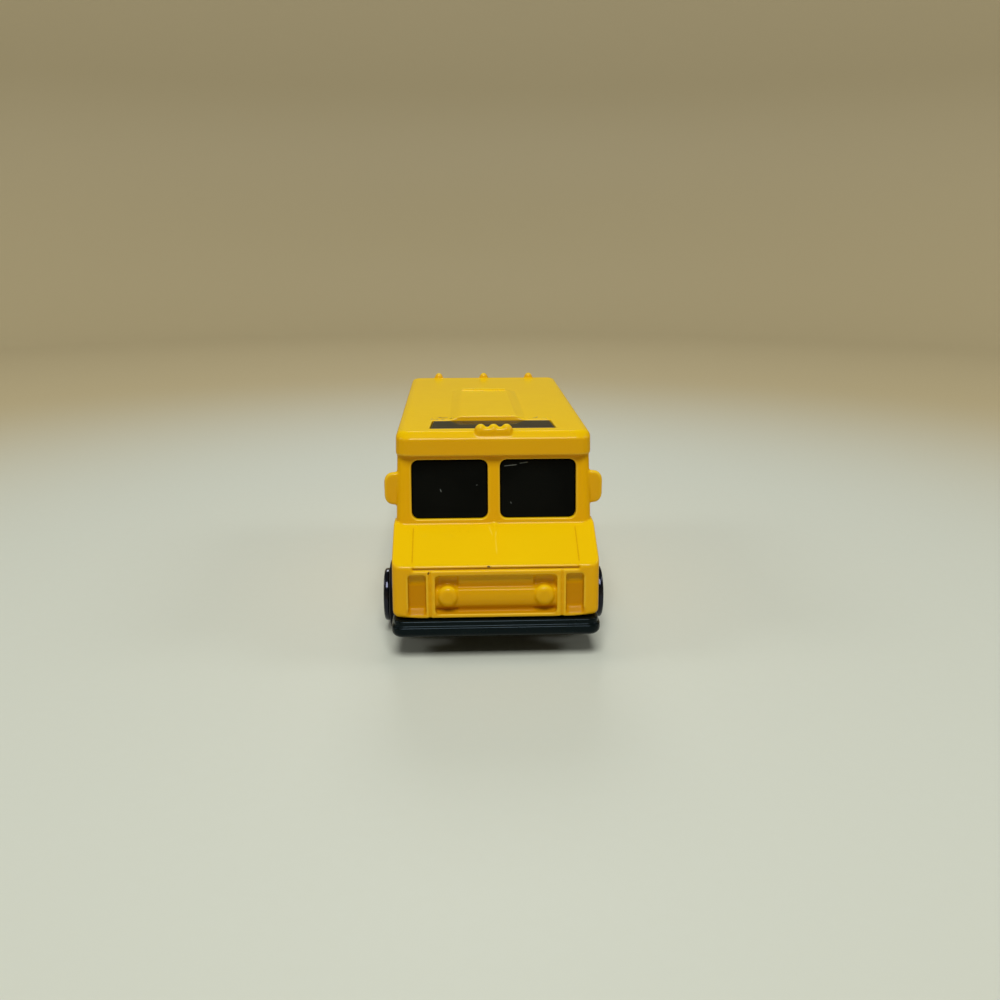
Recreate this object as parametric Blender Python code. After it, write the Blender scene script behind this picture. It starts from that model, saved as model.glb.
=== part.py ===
"""A small die-cast toy step van, built as the pieces that it comes apart into.

The truck faces -Y and stands on the plane Z = 0. Its pieces are modelled with Y counted back from
the face of the front bumper, and one empty moves them so that the origin is under the middle of the
truck. Left and right are the driver's: left is +X. Every size is in metres.
"""

import math

import bmesh
import bpy
from mathutils import Matrix

MM = 0.001

# Overall sizes of the truck
LENGTH = 65.0 * MM
ROOF_HEIGHT = 30.4 * MM
SILL_HEIGHT = 5.0 * MM
SILL_HALF_WIDTH = 14.3 * MM
ROOF_HALF_WIDTH = 13.62 * MM

# The casting's wall, the gap left round pieces that fit together, and an overlap for joined shapes
WALL = 1.2 * MM
FIT = 0.12 * MM
LAP = 0.6 * MM

# Windscreen: where its foot stands, and how far it leans back
SCREEN_FOOT_SETBACK = 8.6 * MM
SCREEN_FOOT_HEIGHT = 17.5 * MM
SCREEN_LEAN = math.radians(9.6)

# Body lengths, counted back from the bumper's face
REAR_SETBACK = 63.6 * MM
BROW_SETBACK = 9.2 * MM
CAP_BOTTOM = 27.05 * MM
CAP_OVERHANG = 0.18 * MM
CAP_CHAMFER = 0.95 * MM
CAP_FRONT_CORNER = 2.0 * MM
CAP_REAR_CORNER = 1.1 * MM
CAP_EDGE_STEPS = 4
CAB_ROUND = 1.2 * MM

# Nose: the grille face and the sloping bonnet
NOSE_BOTTOM = 6.05 * MM
GRILLE_SETBACK = 1.0 * MM
BONNET_FRONT = (1.6 * MM, 13.25 * MM)
BONNET_REAR = (8.8 * MM, 17.5 * MM)
NOSE_END = 11.85 * MM
NOSE_HALF_WIDTH = 14.33 * MM
NOSE_WALL = 2.8 * MM
NOSE_FOOT_ROUND = 0.7 * MM
BONNET_ROUND = 0.26 * MM

# Wheels and axles
WHEEL_RADIUS = 5.15 * MM
TYRE_INNER_FACE = 12.2 * MM
TYRE_OUTER_FACE = 15.3 * MM
TYRE_BORE_RADIUS = 3.3 * MM
HUB_OUTER_FACE = 16.2 * MM
HUB_RIM_RADIUS = 3.9 * MM
AXLE_RADIUS = 0.6 * MM
AXLE_BORE_RADIUS = 0.7 * MM
FRONT_AXLE_SETBACK = 13.0 * MM
REAR_AXLE_SETBACK = 49.5 * MM
AXLE_SETBACKS = {"front": FRONT_AXLE_SETBACK, "rear": REAR_AXLE_SETBACK}
ARCH_RADIUS = 6.2 * MM

# Windows
PANE_LOW = (0.87 * MM, 17.95 * MM)
PANE_HIGH = (11.72 * MM, 26.3 * MM)
PANE_CORNER = 0.95 * MM
DOOR_WINDOW_LOW = (12.6 * MM, 18.4 * MM)
DOOR_WINDOW_HIGH = (18.4 * MM, 25.9 * MM)
SKYLIGHT_FRONT = (12.6 * MM, 9.1 * MM)
SKYLIGHT_REAR = (18.85 * MM, 8.8 * MM)
SKYLIGHT_RECESS = 0.1 * MM
GLASS_RECESS = 0.4 * MM
GLAZING_WALL = 0.8 * MM
GLAZING_FOOT = 17.2 * MM
GLAZING_END = 21.5 * MM

# Base plate
BASE_UNDERSIDE = 4.2 * MM
BASE_TOP = 5.4 * MM
PAD_UNDERSIDE = 3.5 * MM
BUMPER_BOTTOM = 3.45 * MM
BUMPER_TOP = 5.85 * MM
BUMPER_HALF_WIDTH = 14.5 * MM

# Rivets that hold the base to the two posts inside the casting
POST_SETBACKS = {"front": 7.0 * MM, "rear": 57.0 * MM}
POST_RADIUS = 1.7 * MM
POST_END = 5.7 * MM
RIVET_RADIUS = 1.0 * MM
RIVET_HEAD_RADIUS = 1.8 * MM
RIVET_DEPTH = 3.0 * MM

# Floor insert that closes the axle troughs from above
FLOOR_BOTTOM = 6.2 * MM
FLOOR_TOP = 7.0 * MM
FLOOR_FRONT = 9.8 * MM
FLOOR_REAR = 53.0 * MM
FLOOR_HALF_WIDTH = 11.2 * MM

# Grille panel, lamps and signals on the nose; the bar's section is in millimetres of height and depth
GRILLE_LOW = (-8.4 * MM, 6.6 * MM)
GRILLE_HIGH = (8.4 * MM, 12.0 * MM)
GRILLE_DEPTH = 0.9 * MM
BAR_SECTION = [(7.25, 0.75), (7.7, 0.5), (8.4, 0.37), (9.2, 0.33), (9.85, 0.4), (10.2, 1.0)]
LAMP_POCKET = (5.2 * MM, 8.1 * MM)
LAMP_POCKET_DEPTH = 1.2 * MM
LAMP_X = 6.68 * MM
LAMP_HEIGHT = 8.98 * MM
LAMP_RADIUS = 1.5 * MM
LAMP_RISE = 0.2 * MM
LAMP_EDGE = 0.8 * MM
POST_SEAM_X = 9.1 * MM
SIGNAL_LOW = (9.65 * MM, 6.5 * MM)
SIGNAL_HIGH = (12.1 * MM, 12.1 * MM)
SIGNAL_DEPTH = 0.95 * MM
SIGNAL_LEDGE = 0.9 * MM
SIGNAL_LENS_TOP = 10.6 * MM
SIGNAL_LENS_RISE = 0.12 * MM
GROOVE = 0.32 * MM
GROOVE_DEPTH = 0.29 * MM
BONNET_SEAM_X = 11.5 * MM
BONNET_SEAM_END = 8.0 * MM
BONNET_LIP = (12.7 * MM, 13.1 * MM)
BONNET_LIP_DEPTH = 0.45 * MM
PROUD = 0.25 * MM

# Roof: vent housing and marker lamps
HUMP_FRONT = (19.0 * MM, 4.3 * MM)
HUMP_REAR = (44.2 * MM, 4.0 * MM)
HUMP_SHIFT = -0.5 * MM
HUMP_HEIGHT = 0.55 * MM
HUMP_FLARE = 1.5 * MM
HUMP_BEAD_SETBACK = 43.6 * MM
HUMP_BEAD_RADIUS = 0.36 * MM
MARKER_PITCH = 1.82 * MM
MARKER_SETBACK = 10.45 * MM
MARKER_RADII = (0.95 * MM, 0.95 * MM, 1.15 * MM)
MARKER_SINK = 0.13 * MM
MARKER_FOOT_HEIGHT = 0.52 * MM
TAIL_MARKER_PITCH = 8.65 * MM
TAIL_MARKER_SETBACK = 62.4 * MM
TAIL_MARKER_RADII = (0.85 * MM, 0.85 * MM, 1.15 * MM)

# Flanks: door, box panel, rub rails and mirrors
DOOR_SEAMS = (11.7 * MM, 19.9 * MM)
DOOR_LOW = 6.4 * MM
DOOR_TOP = 26.75 * MM
PANEL_LOW = (21.6 * MM, 14.2 * MM)
PANEL_HIGH = (61.6 * MM, 25.8 * MM)
PANEL_DEPTH = 0.25 * MM
RAIL_RISE = 0.28 * MM
RAILS = [((20.6, 11.9), (62.9, 12.7)), ((20.6, 8.1), (42.0, 8.8)), ((57.0, 8.1), (62.9, 8.8))]
MIRROR_LOW = (12.4 * MM, 10.15 * MM, 19.75 * MM)
MIRROR_HIGH = (15.6 * MM, 11.35 * MM, 24.45 * MM)
MIRROR_CORNER = 1.25 * MM

# Rear: doors, windows, hinges and tail lamps
REAR_DOOR_HALF = 11.6 * MM
REAR_DOOR_LOW = 6.9 * MM
REAR_DOOR_TOP = 26.4 * MM
REAR_WINDOW_LOW = (1.6 * MM, 17.6 * MM)
REAR_WINDOW_HIGH = (9.9 * MM, 24.2 * MM)
HINGE_HEIGHTS = (9.6 * MM, 16.4 * MM, 23.2 * MM)
TAIL_LAMP_X = 12.75 * MM
TAIL_LAMP_HEIGHTS = (8.7 * MM, 11.2 * MM)

# Bumper section, base details and the trough that holds each axle
BUMPER_STEP = 5.05 * MM
BUMPER_LIP = 0.45 * MM
BUMPER_END = 6.3 * MM
BUMPER_FOOT_ROUND = 0.9 * MM
SKIRT_BOTTOM = 4.0 * MM
SKIRT_HALF_WIDTH = 13.6 * MM
WELL_HALF_LENGTH = 6.4 * MM
WELL_INNER_X = 11.6 * MM
TROUGH_HALF_WIDTH = 2.2 * MM
PAD_HALF = (4.5 * MM, 8.0 * MM)
PAD_MIDDLE = 30.0 * MM

# Number of flats on round shapes
ROUND_STEPS = 24
TYRE_STEPS = 36
HUB_STEPS = 24
CORNER_STEPS = 4

# Points closer together than this are one point
MERGE_DISTANCE = 0.0005 * MM


def half_width_at(height):
    """Half the casting's width at a height: the sides lean in a little towards the roof."""
    share = (height - SILL_HEIGHT) / (ROOF_HEIGHT - SILL_HEIGHT)
    return SILL_HALF_WIDTH + share * (ROOF_HALF_WIDTH - SILL_HALF_WIDTH)


def screen_at(height):
    """Setback of the windscreen's outer surface at a height."""
    return SCREEN_FOOT_SETBACK + (height - SCREEN_FOOT_HEIGHT) * math.tan(SCREEN_LEAN)


def bonnet_at(setback):
    """Height of the bonnet's outer surface at a setback."""
    (front, low), (rear, high) = BONNET_FRONT, BONNET_REAR
    return low + (setback - front) / (rear - front) * (high - low)


def clear_scene():
    """Empties the scene."""
    for obj in list(bpy.data.objects):
        bpy.data.objects.remove(obj)


def plain_material(name, colour, roughness, metallic=0.0):
    """A Principled material of one colour."""
    material = bpy.data.materials.new(name)
    material.use_nodes = True
    shader = material.node_tree.nodes["Principled BSDF"]
    shader.inputs["Base Color"].default_value = (*colour, 1.0)
    shader.inputs["Roughness"].default_value = roughness
    shader.inputs["Metallic"].default_value = metallic
    return material


def solid(name, bm):
    """Turns a closed bmesh into an object with its faces pointing out."""
    bmesh.ops.recalc_face_normals(bm, faces=bm.faces)
    mesh = bpy.data.meshes.new(name)
    bm.to_mesh(mesh)
    bm.free()
    obj = bpy.data.objects.new(name, mesh)
    bpy.context.scene.collection.objects.link(obj)
    return obj


def loft(name, *outlines):
    """A solid through two or more outlines that have the same number of points."""
    bm = bmesh.new()
    rings = [[bm.verts.new(point) for point in outline] for outline in outlines]
    bm.faces.new(rings[0])
    bm.faces.new(rings[-1])
    count = len(rings[0])
    for near, far in zip(rings, rings[1:]):
        for i in range(count):
            j = (i + 1) % count
            bm.faces.new((near[i], near[j], far[j], far[i]))
    return solid(name, bm)


def slab(name, outline, axis, low, high):
    """An outline carried along an axis. Its points name the other two axes in X, Y, Z order."""

    def place(point, along):
        a, b = point
        return {"X": (along, a, b), "Y": (a, along, b), "Z": (a, b, along)}[axis]

    return loft(name, [place(p, low) for p in outline], [place(p, high) for p in outline])


def body_prism(name, outline, inset):
    """A side outline of (setback, height) points, carried across the truck between its leaning sides."""
    sides = [
        [(sign * (half_width_at(height) - inset), setback, height) for setback, height in outline]
        for sign in (-1, 1)
    ]
    return loft(name, *sides)


def flank_slab(name, outline, sign, outer, inner):
    """A side outline as a slab on one flank, between two depths below the flank's surface."""
    depths = [
        [(sign * (half_width_at(height) - depth), setback, height) for setback, height in outline]
        for depth in (outer, inner)
    ]
    return loft(name, *depths)


def screen_slab(name, outline, outer, inner):
    """A front outline of (x, height) points as a slab parallel to the windscreen."""
    depths = [
        [(x, screen_at(height) + depth, height) for x, height in outline] for depth in (outer, inner)
    ]
    return loft(name, *depths)


def rectangle(low, high):
    """The four corners of a rectangle."""
    return [low, (high[0], low[1]), high, (low[0], high[1])]


def rounded(low, high, radius):
    """A rectangle's outline with round corners."""
    points = []
    for corner in range(4):
        right, top = corner in (0, 1), corner in (1, 2)
        centre_a = high[0] - radius if right else low[0] + radius
        centre_b = high[1] - radius if top else low[1] + radius
        start = (corner - 1) * math.pi / 2
        for step in range(CORNER_STEPS + 1):
            angle = start + step / CORNER_STEPS * math.pi / 2
            points.append((centre_a + radius * math.cos(angle), centre_b + radius * math.sin(angle)))
    return points


def grown(low, high, margin):
    """A rectangle's two corners, moved out by a margin."""
    return (low[0] - margin, low[1] - margin), (high[0] + margin, high[1] + margin)


def mirrored(low, high, sign):
    """The corners of a rectangle that has X first, on the given side of the truck."""
    if sign > 0:
        return low, high
    return (-high[0], low[1]), (-low[0], high[1])


def block(name, low, high, radius=0.0, segments=2):
    """A box between two corners, with round edges where a radius is given."""
    bm = bmesh.new()
    bmesh.ops.create_cube(bm, size=1.0)
    size = [b - a for a, b in zip(low, high)]
    middle = [(a + b) / 2 for a, b in zip(low, high)]
    bmesh.ops.scale(bm, vec=size, verts=bm.verts)
    bmesh.ops.translate(bm, vec=middle, verts=bm.verts)
    if radius:
        bmesh.ops.bevel(
            bm, geom=bm.edges[:], offset=radius, segments=segments, profile=0.5, affect="EDGES"
        )
    return solid(name, bm)


def drum(name, axis, centre, radius, low, high, steps=ROUND_STEPS, far_radius=None):
    """A round bar along an axis, from low to high on it. The centre gives the other two axes."""
    bm = bmesh.new()
    bmesh.ops.create_cone(
        bm,
        cap_ends=True,
        segments=steps,
        radius1=radius,
        radius2=radius if far_radius is None else far_radius,
        depth=high - low,
    )
    turn = {"X": Matrix.Rotation(math.pi / 2, 3, "Y"), "Y": Matrix.Rotation(-math.pi / 2, 3, "X")}
    if axis in turn:
        bmesh.ops.rotate(bm, cent=(0, 0, 0), matrix=turn[axis], verts=bm.verts)
    middle = (low + high) / 2
    a, b = centre
    place = {"X": (middle, a, b), "Y": (a, middle, b), "Z": (a, b, middle)}[axis]
    bmesh.ops.translate(bm, vec=place, verts=bm.verts)
    return solid(name, bm)


def dome(name, centre, radii):
    """An egg of three radii."""
    bm = bmesh.new()
    bmesh.ops.create_uvsphere(bm, u_segments=12, v_segments=8, radius=1.0)
    bmesh.ops.scale(bm, vec=radii, verts=bm.verts)
    bmesh.ops.translate(bm, vec=centre, verts=bm.verts)
    return solid(name, bm)


def turned(name, profile, steps):
    """A closed profile of (x, radius) points, turned about the X axis."""
    bm = bmesh.new()
    ring = [bm.verts.new((x, 0, -radius)) for x, radius in profile]
    edges = [bm.edges.new((ring[i], ring[(i + 1) % len(ring)])) for i in range(len(ring))]
    bmesh.ops.spin(
        bm, geom=ring + edges, axis=(1, 0, 0), cent=(0, 0, 0), angle=2 * math.pi, steps=steps, use_merge=True
    )
    return solid(name, bm)


def round_edges(obj, chosen, radius, segments):
    """Rounds the edges of an object whose two end points pass a test."""
    bm = bmesh.new()
    bm.from_mesh(obj.data)
    edges = [edge for edge in bm.edges if chosen(edge.verts[0].co, edge.verts[1].co)]
    bmesh.ops.bevel(bm, geom=edges, offset=radius, segments=segments, profile=0.5, affect="EDGES")
    bm.to_mesh(obj.data)
    bm.free()


def drop_slivers(mesh):
    """Merges points that a cut left in the same place, and removes faces without any area."""
    bm = bmesh.new()
    bm.from_mesh(mesh)
    bmesh.ops.remove_doubles(bm, verts=bm.verts, dist=MERGE_DISTANCE)
    bmesh.ops.dissolve_degenerate(bm, edges=bm.edges, dist=MERGE_DISTANCE)
    bm.to_mesh(mesh)
    bm.free()


def combine(target, tools, operation):
    """Joins the tools to the target or cuts them from it, then removes them."""
    for tool in tools:
        modifier = target.modifiers.new("combine", "BOOLEAN")
        modifier.operation = operation
        modifier.solver = "EXACT"
        modifier.object = tool
        graph = bpy.context.evaluated_depsgraph_get()
        mesh = bpy.data.meshes.new_from_object(target.evaluated_get(graph))
        target.modifiers.clear()
        target.data = mesh
        bpy.data.objects.remove(tool)
        drop_slivers(mesh)
    return target


def join(target, *tools):
    """Welds the tools to the target."""
    return combine(target, tools, "UNION")


def cut(target, *tools):
    """Cuts the tools out of the target."""
    return combine(target, tools, "DIFFERENCE")


def cap_ring(height, front_inset, side_inset):
    """The roof cap's plan at a height, pulled in from its front and from its sides."""
    half = half_width_at(height) + CAP_OVERHANG - side_inset
    front = BROW_SETBACK + front_inset
    rear = REAR_SETBACK + CAP_OVERHANG - side_inset
    points = []
    for corner in range(4):
        right, back = corner in (0, 1), corner in (1, 2)
        radius = CAP_REAR_CORNER if back else CAP_FRONT_CORNER
        radius -= 0.5 * side_inset
        x = half - radius if right else radius - half
        y = rear - radius if back else front + radius
        for step in range(CAP_EDGE_STEPS + 1):
            angle = (corner - 1 + step / CAP_EDGE_STEPS) * math.pi / 2
            points.append((x + radius * math.cos(angle), y + radius * math.sin(angle), height))
    return points


def roof_cap():
    """The cap over cab and box: a flat chamfer along its front, and round edges along its other sides."""
    rings = [cap_ring(CAP_BOTTOM, 0.0, 0.0)]
    for step in range(CAP_EDGE_STEPS + 1):
        share = step / CAP_EDGE_STEPS
        side = CAP_CHAMFER * (1 - math.sqrt(1 - share * share))
        rings.append(cap_ring(ROOF_HEIGHT - CAP_CHAMFER * (1 - share), CAP_CHAMFER * share, side))
    return loft("cap", *rings)


def casting_blank():
    """The outside of the casting before any detail: cab and box, roof cap and nose in one solid."""
    deep_nose = 12.0 * MM
    box_top = ROOF_HEIGHT - 0.25 * MM
    box = body_prism(
        "body_shell",
        [
            (screen_at(deep_nose), SILL_HEIGHT),
            (screen_at(deep_nose), deep_nose),
            (screen_at(box_top), box_top),
            (REAR_SETBACK, box_top),
            (REAR_SETBACK, SILL_HEIGHT),
        ],
        0.0,
    )
    round_edges(box, lambda a, b: max(a.z, b.z) > deep_nose, CAB_ROUND, 3)

    nose = slab(
        "nose",
        [
            (GRILLE_SETBACK, NOSE_BOTTOM),
            BONNET_FRONT,
            BONNET_REAR,
            (NOSE_END, BONNET_REAR[1]),
            (NOSE_END, NOSE_BOTTOM),
        ],
        "X",
        -NOSE_HALF_WIDTH,
        NOSE_HALF_WIDTH,
    )
    front_end = BONNET_FRONT[0] + 0.1 * MM
    round_edges(nose, lambda a, b: a.y < front_end and b.y < front_end and abs(a.z - b.z) > MM, 1.3 * MM, 4)
    round_edges(nose, lambda a, b: a.x * b.x > 0 and max(a.z, b.z) < NOSE_BOTTOM + FIT, NOSE_FOOT_ROUND, 3)
    bonnet_foot = BONNET_FRONT[1] - 0.1 * MM
    round_edges(
        nose,
        lambda a, b: min(a.z, b.z) > bonnet_foot and (a.x * b.x > 0 or max(a.y, b.y) < front_end + MM),
        BONNET_ROUND,
        2,
    )
    return join(box, roof_cap(), nose)


def hollow_out(body):
    """Leaves a thin wall open at the bottom, thicker behind the grille, with a post for each rivet."""
    below = SILL_HEIGHT - 2 * MM
    lean_wall = WALL / math.cos(SCREEN_LEAN)
    top = ROOF_HEIGHT - WALL
    room = body_prism(
        "room",
        [
            (screen_at(below) + lean_wall, below),
            (screen_at(top) + lean_wall, top),
            (REAR_SETBACK - WALL, top),
            (REAR_SETBACK - WALL, below),
        ],
        WALL,
    )
    nose_front = GRILLE_SETBACK + NOSE_WALL
    nose_room = body_prism(
        "nose_room",
        [
            (nose_front, below),
            (nose_front, bonnet_at(nose_front) - 1.4 * WALL),
            (screen_at(SCREEN_FOOT_HEIGHT) + WALL, bonnet_at(SCREEN_FOOT_SETBACK) - 1.4 * WALL),
            (NOSE_END + MM, bonnet_at(SCREEN_FOOT_SETBACK) - 1.4 * WALL),
            (NOSE_END + MM, below),
        ],
        WALL + FIT,
    )
    cut(body, room, nose_room)
    for end, setback in POST_SETBACKS.items():
        ceiling = bonnet_at(setback) - WALL if end == "front" else ROOF_HEIGHT - WALL / 2
        join(body, drum("post", "Z", (0, setback), POST_RADIUS, POST_END, ceiling))
        bore_end = POST_END + RIVET_DEPTH + FIT
        cut(body, drum("bore", "Z", (0, setback), RIVET_RADIUS + FIT, POST_END - LAP, bore_end))


def skylight_outline(margin):
    """The skylight's plan: a trapezium with its long side to the front, grown by a margin."""
    front, front_half = SKYLIGHT_FRONT[0] - margin, SKYLIGHT_FRONT[1] + margin
    rear, rear_half = SKYLIGHT_REAR[0] + margin, SKYLIGHT_REAR[1] + margin
    return [(-front_half, front), (front_half, front), (rear_half, rear), (-rear_half, rear)]


def cut_windows(body):
    """Opens the two windscreen panes, the door windows and the skylight."""
    for sign in (-1, 1):
        pane = rounded(*mirrored(PANE_LOW, PANE_HIGH, sign), PANE_CORNER)
        cut(body, screen_slab("pane", pane, -2 * MM, 3 * MM))
        door = rounded(DOOR_WINDOW_LOW, DOOR_WINDOW_HIGH, PANE_CORNER)
        cut(body, flank_slab("door_window", door, sign, -MM, 3 * MM))
    cut(body, slab("skylight", skylight_outline(0.0), "Z", ROOF_HEIGHT - 3 * MM, ROOF_HEIGHT + MM))


def cut_wheel_arches(body):
    """Opens the four wheel arches and gives each a raised lip."""
    for setback in AXLE_SETBACKS.values():
        for sign in (-1, 1):
            side = half_width_at(WHEEL_RADIUS + ARCH_RADIUS)
            low, high = sorted((sign * (side - MM), sign * (side + 0.35 * MM)))
            lip = drum("lip", "X", (setback, WHEEL_RADIUS), ARCH_RADIUS + 0.7 * MM, low, high, 40)
            cut(lip, block("under", (low - MM, setback - 9 * MM, -3 * MM),
                           (high + MM, setback + 9 * MM, SILL_HEIGHT + 1.4 * MM)))
            join(body, lip)
            low, high = sorted((sign * 10 * MM, sign * 17 * MM))
            cut(body, drum("arch", "X", (setback, WHEEL_RADIUS), ARCH_RADIUS, low, high, 40))


def nose_face(height):
    """Setback of the grille face at a height: it leans back to the bonnet's front edge."""
    share = (height - NOSE_BOTTOM) / (BONNET_FRONT[1] - NOSE_BOTTOM)
    return GRILLE_SETBACK + share * (BONNET_FRONT[0] - GRILLE_SETBACK)


def nose_slab(name, outline, outer, inner, inner_outline=None):
    """Front outlines of (x, height) points as a slab between two depths below the grille face."""
    rings = [(outline, outer), (inner_outline or outline, inner)]
    return loft(name, *[[(x, nose_face(z) + depth, z) for x, z in points] for points, depth in rings])


def grille_bar():
    """The wide bar across the grille, with a rounded front given as heights and depths in millimetres."""
    front = [(nose_face(z * MM) + depth * MM, z * MM) for z, depth in BAR_SECTION]
    back = nose_face(BAR_SECTION[0][0] * MM) + LAMP_POCKET_DEPTH + LAP
    section = [*front, (back, front[-1][1]), (back, front[0][1])]
    return slab("bar", section, "X", GRILLE_LOW[0] - LAP, GRILLE_HIGH[0] + LAP)


def head_lamp(sign):
    """A round lamp that stands on the bar."""
    face = nose_face(LAMP_HEIGHT) - LAMP_RISE
    lamp = drum("lamp", "Y", (sign * LAMP_X, LAMP_HEIGHT), LAMP_RADIUS, face, face + 2 * MM)
    round_edges(lamp, lambda a, b: max(a.y, b.y) < face + 0.1 * MM, LAMP_EDGE, 4)
    return lamp


def signal_recess(sign):
    """The cutter of a signal's recess, which has a sloping ledge at its foot."""
    slope = SIGNAL_LEDGE / SIGNAL_DEPTH
    outer_low = (SIGNAL_LOW[0], SIGNAL_LOW[1] - slope * PROUD)
    inner_low = (SIGNAL_LOW[0], SIGNAL_LOW[1] + SIGNAL_LEDGE)
    outer = rounded(*mirrored(outer_low, SIGNAL_HIGH, sign), 0.35 * MM)
    inner = rounded(*mirrored(inner_low, SIGNAL_HIGH, sign), 0.35 * MM)
    return nose_slab("signal", outer, -PROUD, SIGNAL_DEPTH, inner)


def detail_nose(body):
    """Cuts the grille, signal recesses and seams into the nose, and adds the bar and the lamps."""
    cut(body, nose_slab("grille", rounded(GRILLE_LOW, GRILLE_HIGH, 0.55 * MM), -MM, GRILLE_DEPTH))
    for sign in (-1, 1):
        pocket_low = (LAMP_POCKET[0], GRILLE_LOW[1] + 0.1 * MM)
        pocket_high = (LAMP_POCKET[1], GRILLE_HIGH[1] - 0.25 * MM)
        pocket = rounded(*mirrored(pocket_low, pocket_high, sign), 0.4 * MM)
        cut(body, nose_slab("pocket", pocket, -MM, LAMP_POCKET_DEPTH))
    join(body, grille_bar())
    for sign in (-1, 1):
        join(body, head_lamp(sign))
        cut(body, signal_recess(sign))
        lens_low = (SIGNAL_LOW[0] - PROUD, SIGNAL_LOW[1] + SIGNAL_LEDGE - 0.1 * MM)
        lens_high = (SIGNAL_HIGH[0] + PROUD, SIGNAL_LENS_TOP)
        lens = rectangle(*mirrored(lens_low, lens_high, sign))
        join(body, nose_slab("lens", lens, SIGNAL_DEPTH - SIGNAL_LENS_RISE, SIGNAL_DEPTH + LAP))
        seam_x = sign * POST_SEAM_X
        post_seam = rectangle(
            (seam_x - GROOVE / 2, NOSE_BOTTOM - MM), (seam_x + GROOVE / 2, BONNET_LIP[0] + 0.1 * MM)
        )
        cut(body, nose_slab("post_seam", post_seam, -MM, GROOVE_DEPTH * 0.9))
        seam = [
            (BONNET_FRONT[0] - MM, bonnet_at(BONNET_FRONT[0] - MM) - GROOVE_DEPTH),
            (BONNET_FRONT[0] - MM, BONNET_REAR[1] + MM),
            (BONNET_SEAM_END, BONNET_REAR[1] + MM),
            (BONNET_SEAM_END, bonnet_at(BONNET_SEAM_END) - GROOVE_DEPTH),
        ]
        edge = sign * BONNET_SEAM_X
        cut(body, slab("bonnet_seam", seam, "X", edge - GROOVE / 2, edge + GROOVE / 2))
    lip_end = BONNET_SEAM_X + 0.05 * MM
    lip = rectangle((-lip_end, BONNET_LIP[0]), (lip_end, BONNET_LIP[1]))
    cut(body, nose_slab("bonnet_lip", lip, -MM, BONNET_LIP_DEPTH))
    rib = [(0.7 * MM, -0.06 * MM), (0.0, 0.2 * MM), (-0.7 * MM, -0.06 * MM), (0.0, -LAP)]
    rib_ends = [(4.6 * MM, 0.2), (BONNET_REAR[0] - 0.15 * MM, 1.0)]
    rings = [
        [(x * share, setback, bonnet_at(setback) + rise * share) for x, rise in rib]
        for setback, share in rib_ends
    ]
    join(body, loft("bonnet_rib", *rings))


def vent_housing():
    """The long raised housing on the roof: upright in front, flared at its sides, with a bead at its rear."""
    (front, front_half), (rear, rear_half) = HUMP_FRONT, HUMP_REAR
    top, low = ROOF_HEIGHT + HUMP_HEIGHT, ROOF_HEIGHT - LAP
    flare = HUMP_FLARE * (top - low) / HUMP_HEIGHT
    rings = []
    for spread, height in ((flare, low), (0.0, top)):
        plan = [(front, front_half + spread), (rear + spread, rear_half + spread)]
        left = [(HUMP_SHIFT + half, setback, height) for setback, half in plan]
        right = [(HUMP_SHIFT - half, setback, height) for setback, half in reversed(plan)]
        rings.append([*left, *right])
    hump = loft("hump", *rings)
    round_edges(hump, lambda a, b: min(a.z, b.z) > top - 0.1 * MM, 0.2 * MM, 2)
    ends = [HUMP_SHIFT + sign * (rear_half - 0.25 * MM) for sign in (-1, 1)]
    bead = drum("bead", "X", (HUMP_BEAD_SETBACK, top - 0.07 * MM), HUMP_BEAD_RADIUS, *ends, 16)
    return join(hump, bead)


def detail_roof(body):
    """Adds the vent housing and the marker lamps at both ends of the roof."""
    foot_half = 1.5 * MARKER_PITCH - 0.24 * MM
    foot = block(
        "marker_foot",
        (-foot_half, MARKER_SETBACK - 0.9 * MM, ROOF_HEIGHT - 1.2 * MM),
        (foot_half, MARKER_SETBACK + 0.85 * MM, ROOF_HEIGHT + MARKER_FOOT_HEIGHT),
        0.45 * MM,
        3,
    )
    join(body, vent_housing(), foot)
    for place in (-1, 0, 1):
        front = (place * MARKER_PITCH, MARKER_SETBACK, ROOF_HEIGHT - MARKER_SINK)
        join(body, dome("marker", front, MARKER_RADII))
        tail = (place * TAIL_MARKER_PITCH, TAIL_MARKER_SETBACK, ROOF_HEIGHT - MARKER_SINK)
        join(body, dome("tail_marker", tail, TAIL_MARKER_RADII))


def door_mirror(sign):
    """A mirror with round corners, rooted in the cab's wall."""
    (x_low, front, z_low), (x_high, back, z_high) = MIRROR_LOW, MIRROR_HIGH
    outline = rounded(*mirrored((x_low, z_low), (x_high, z_high), sign), MIRROR_CORNER)
    mirror = slab("mirror", outline, "Y", front, back)
    round_edges(mirror, lambda a, b: abs(a.y - b.y) < 0.1 * MM, 0.3 * MM, 2)
    return mirror


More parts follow.
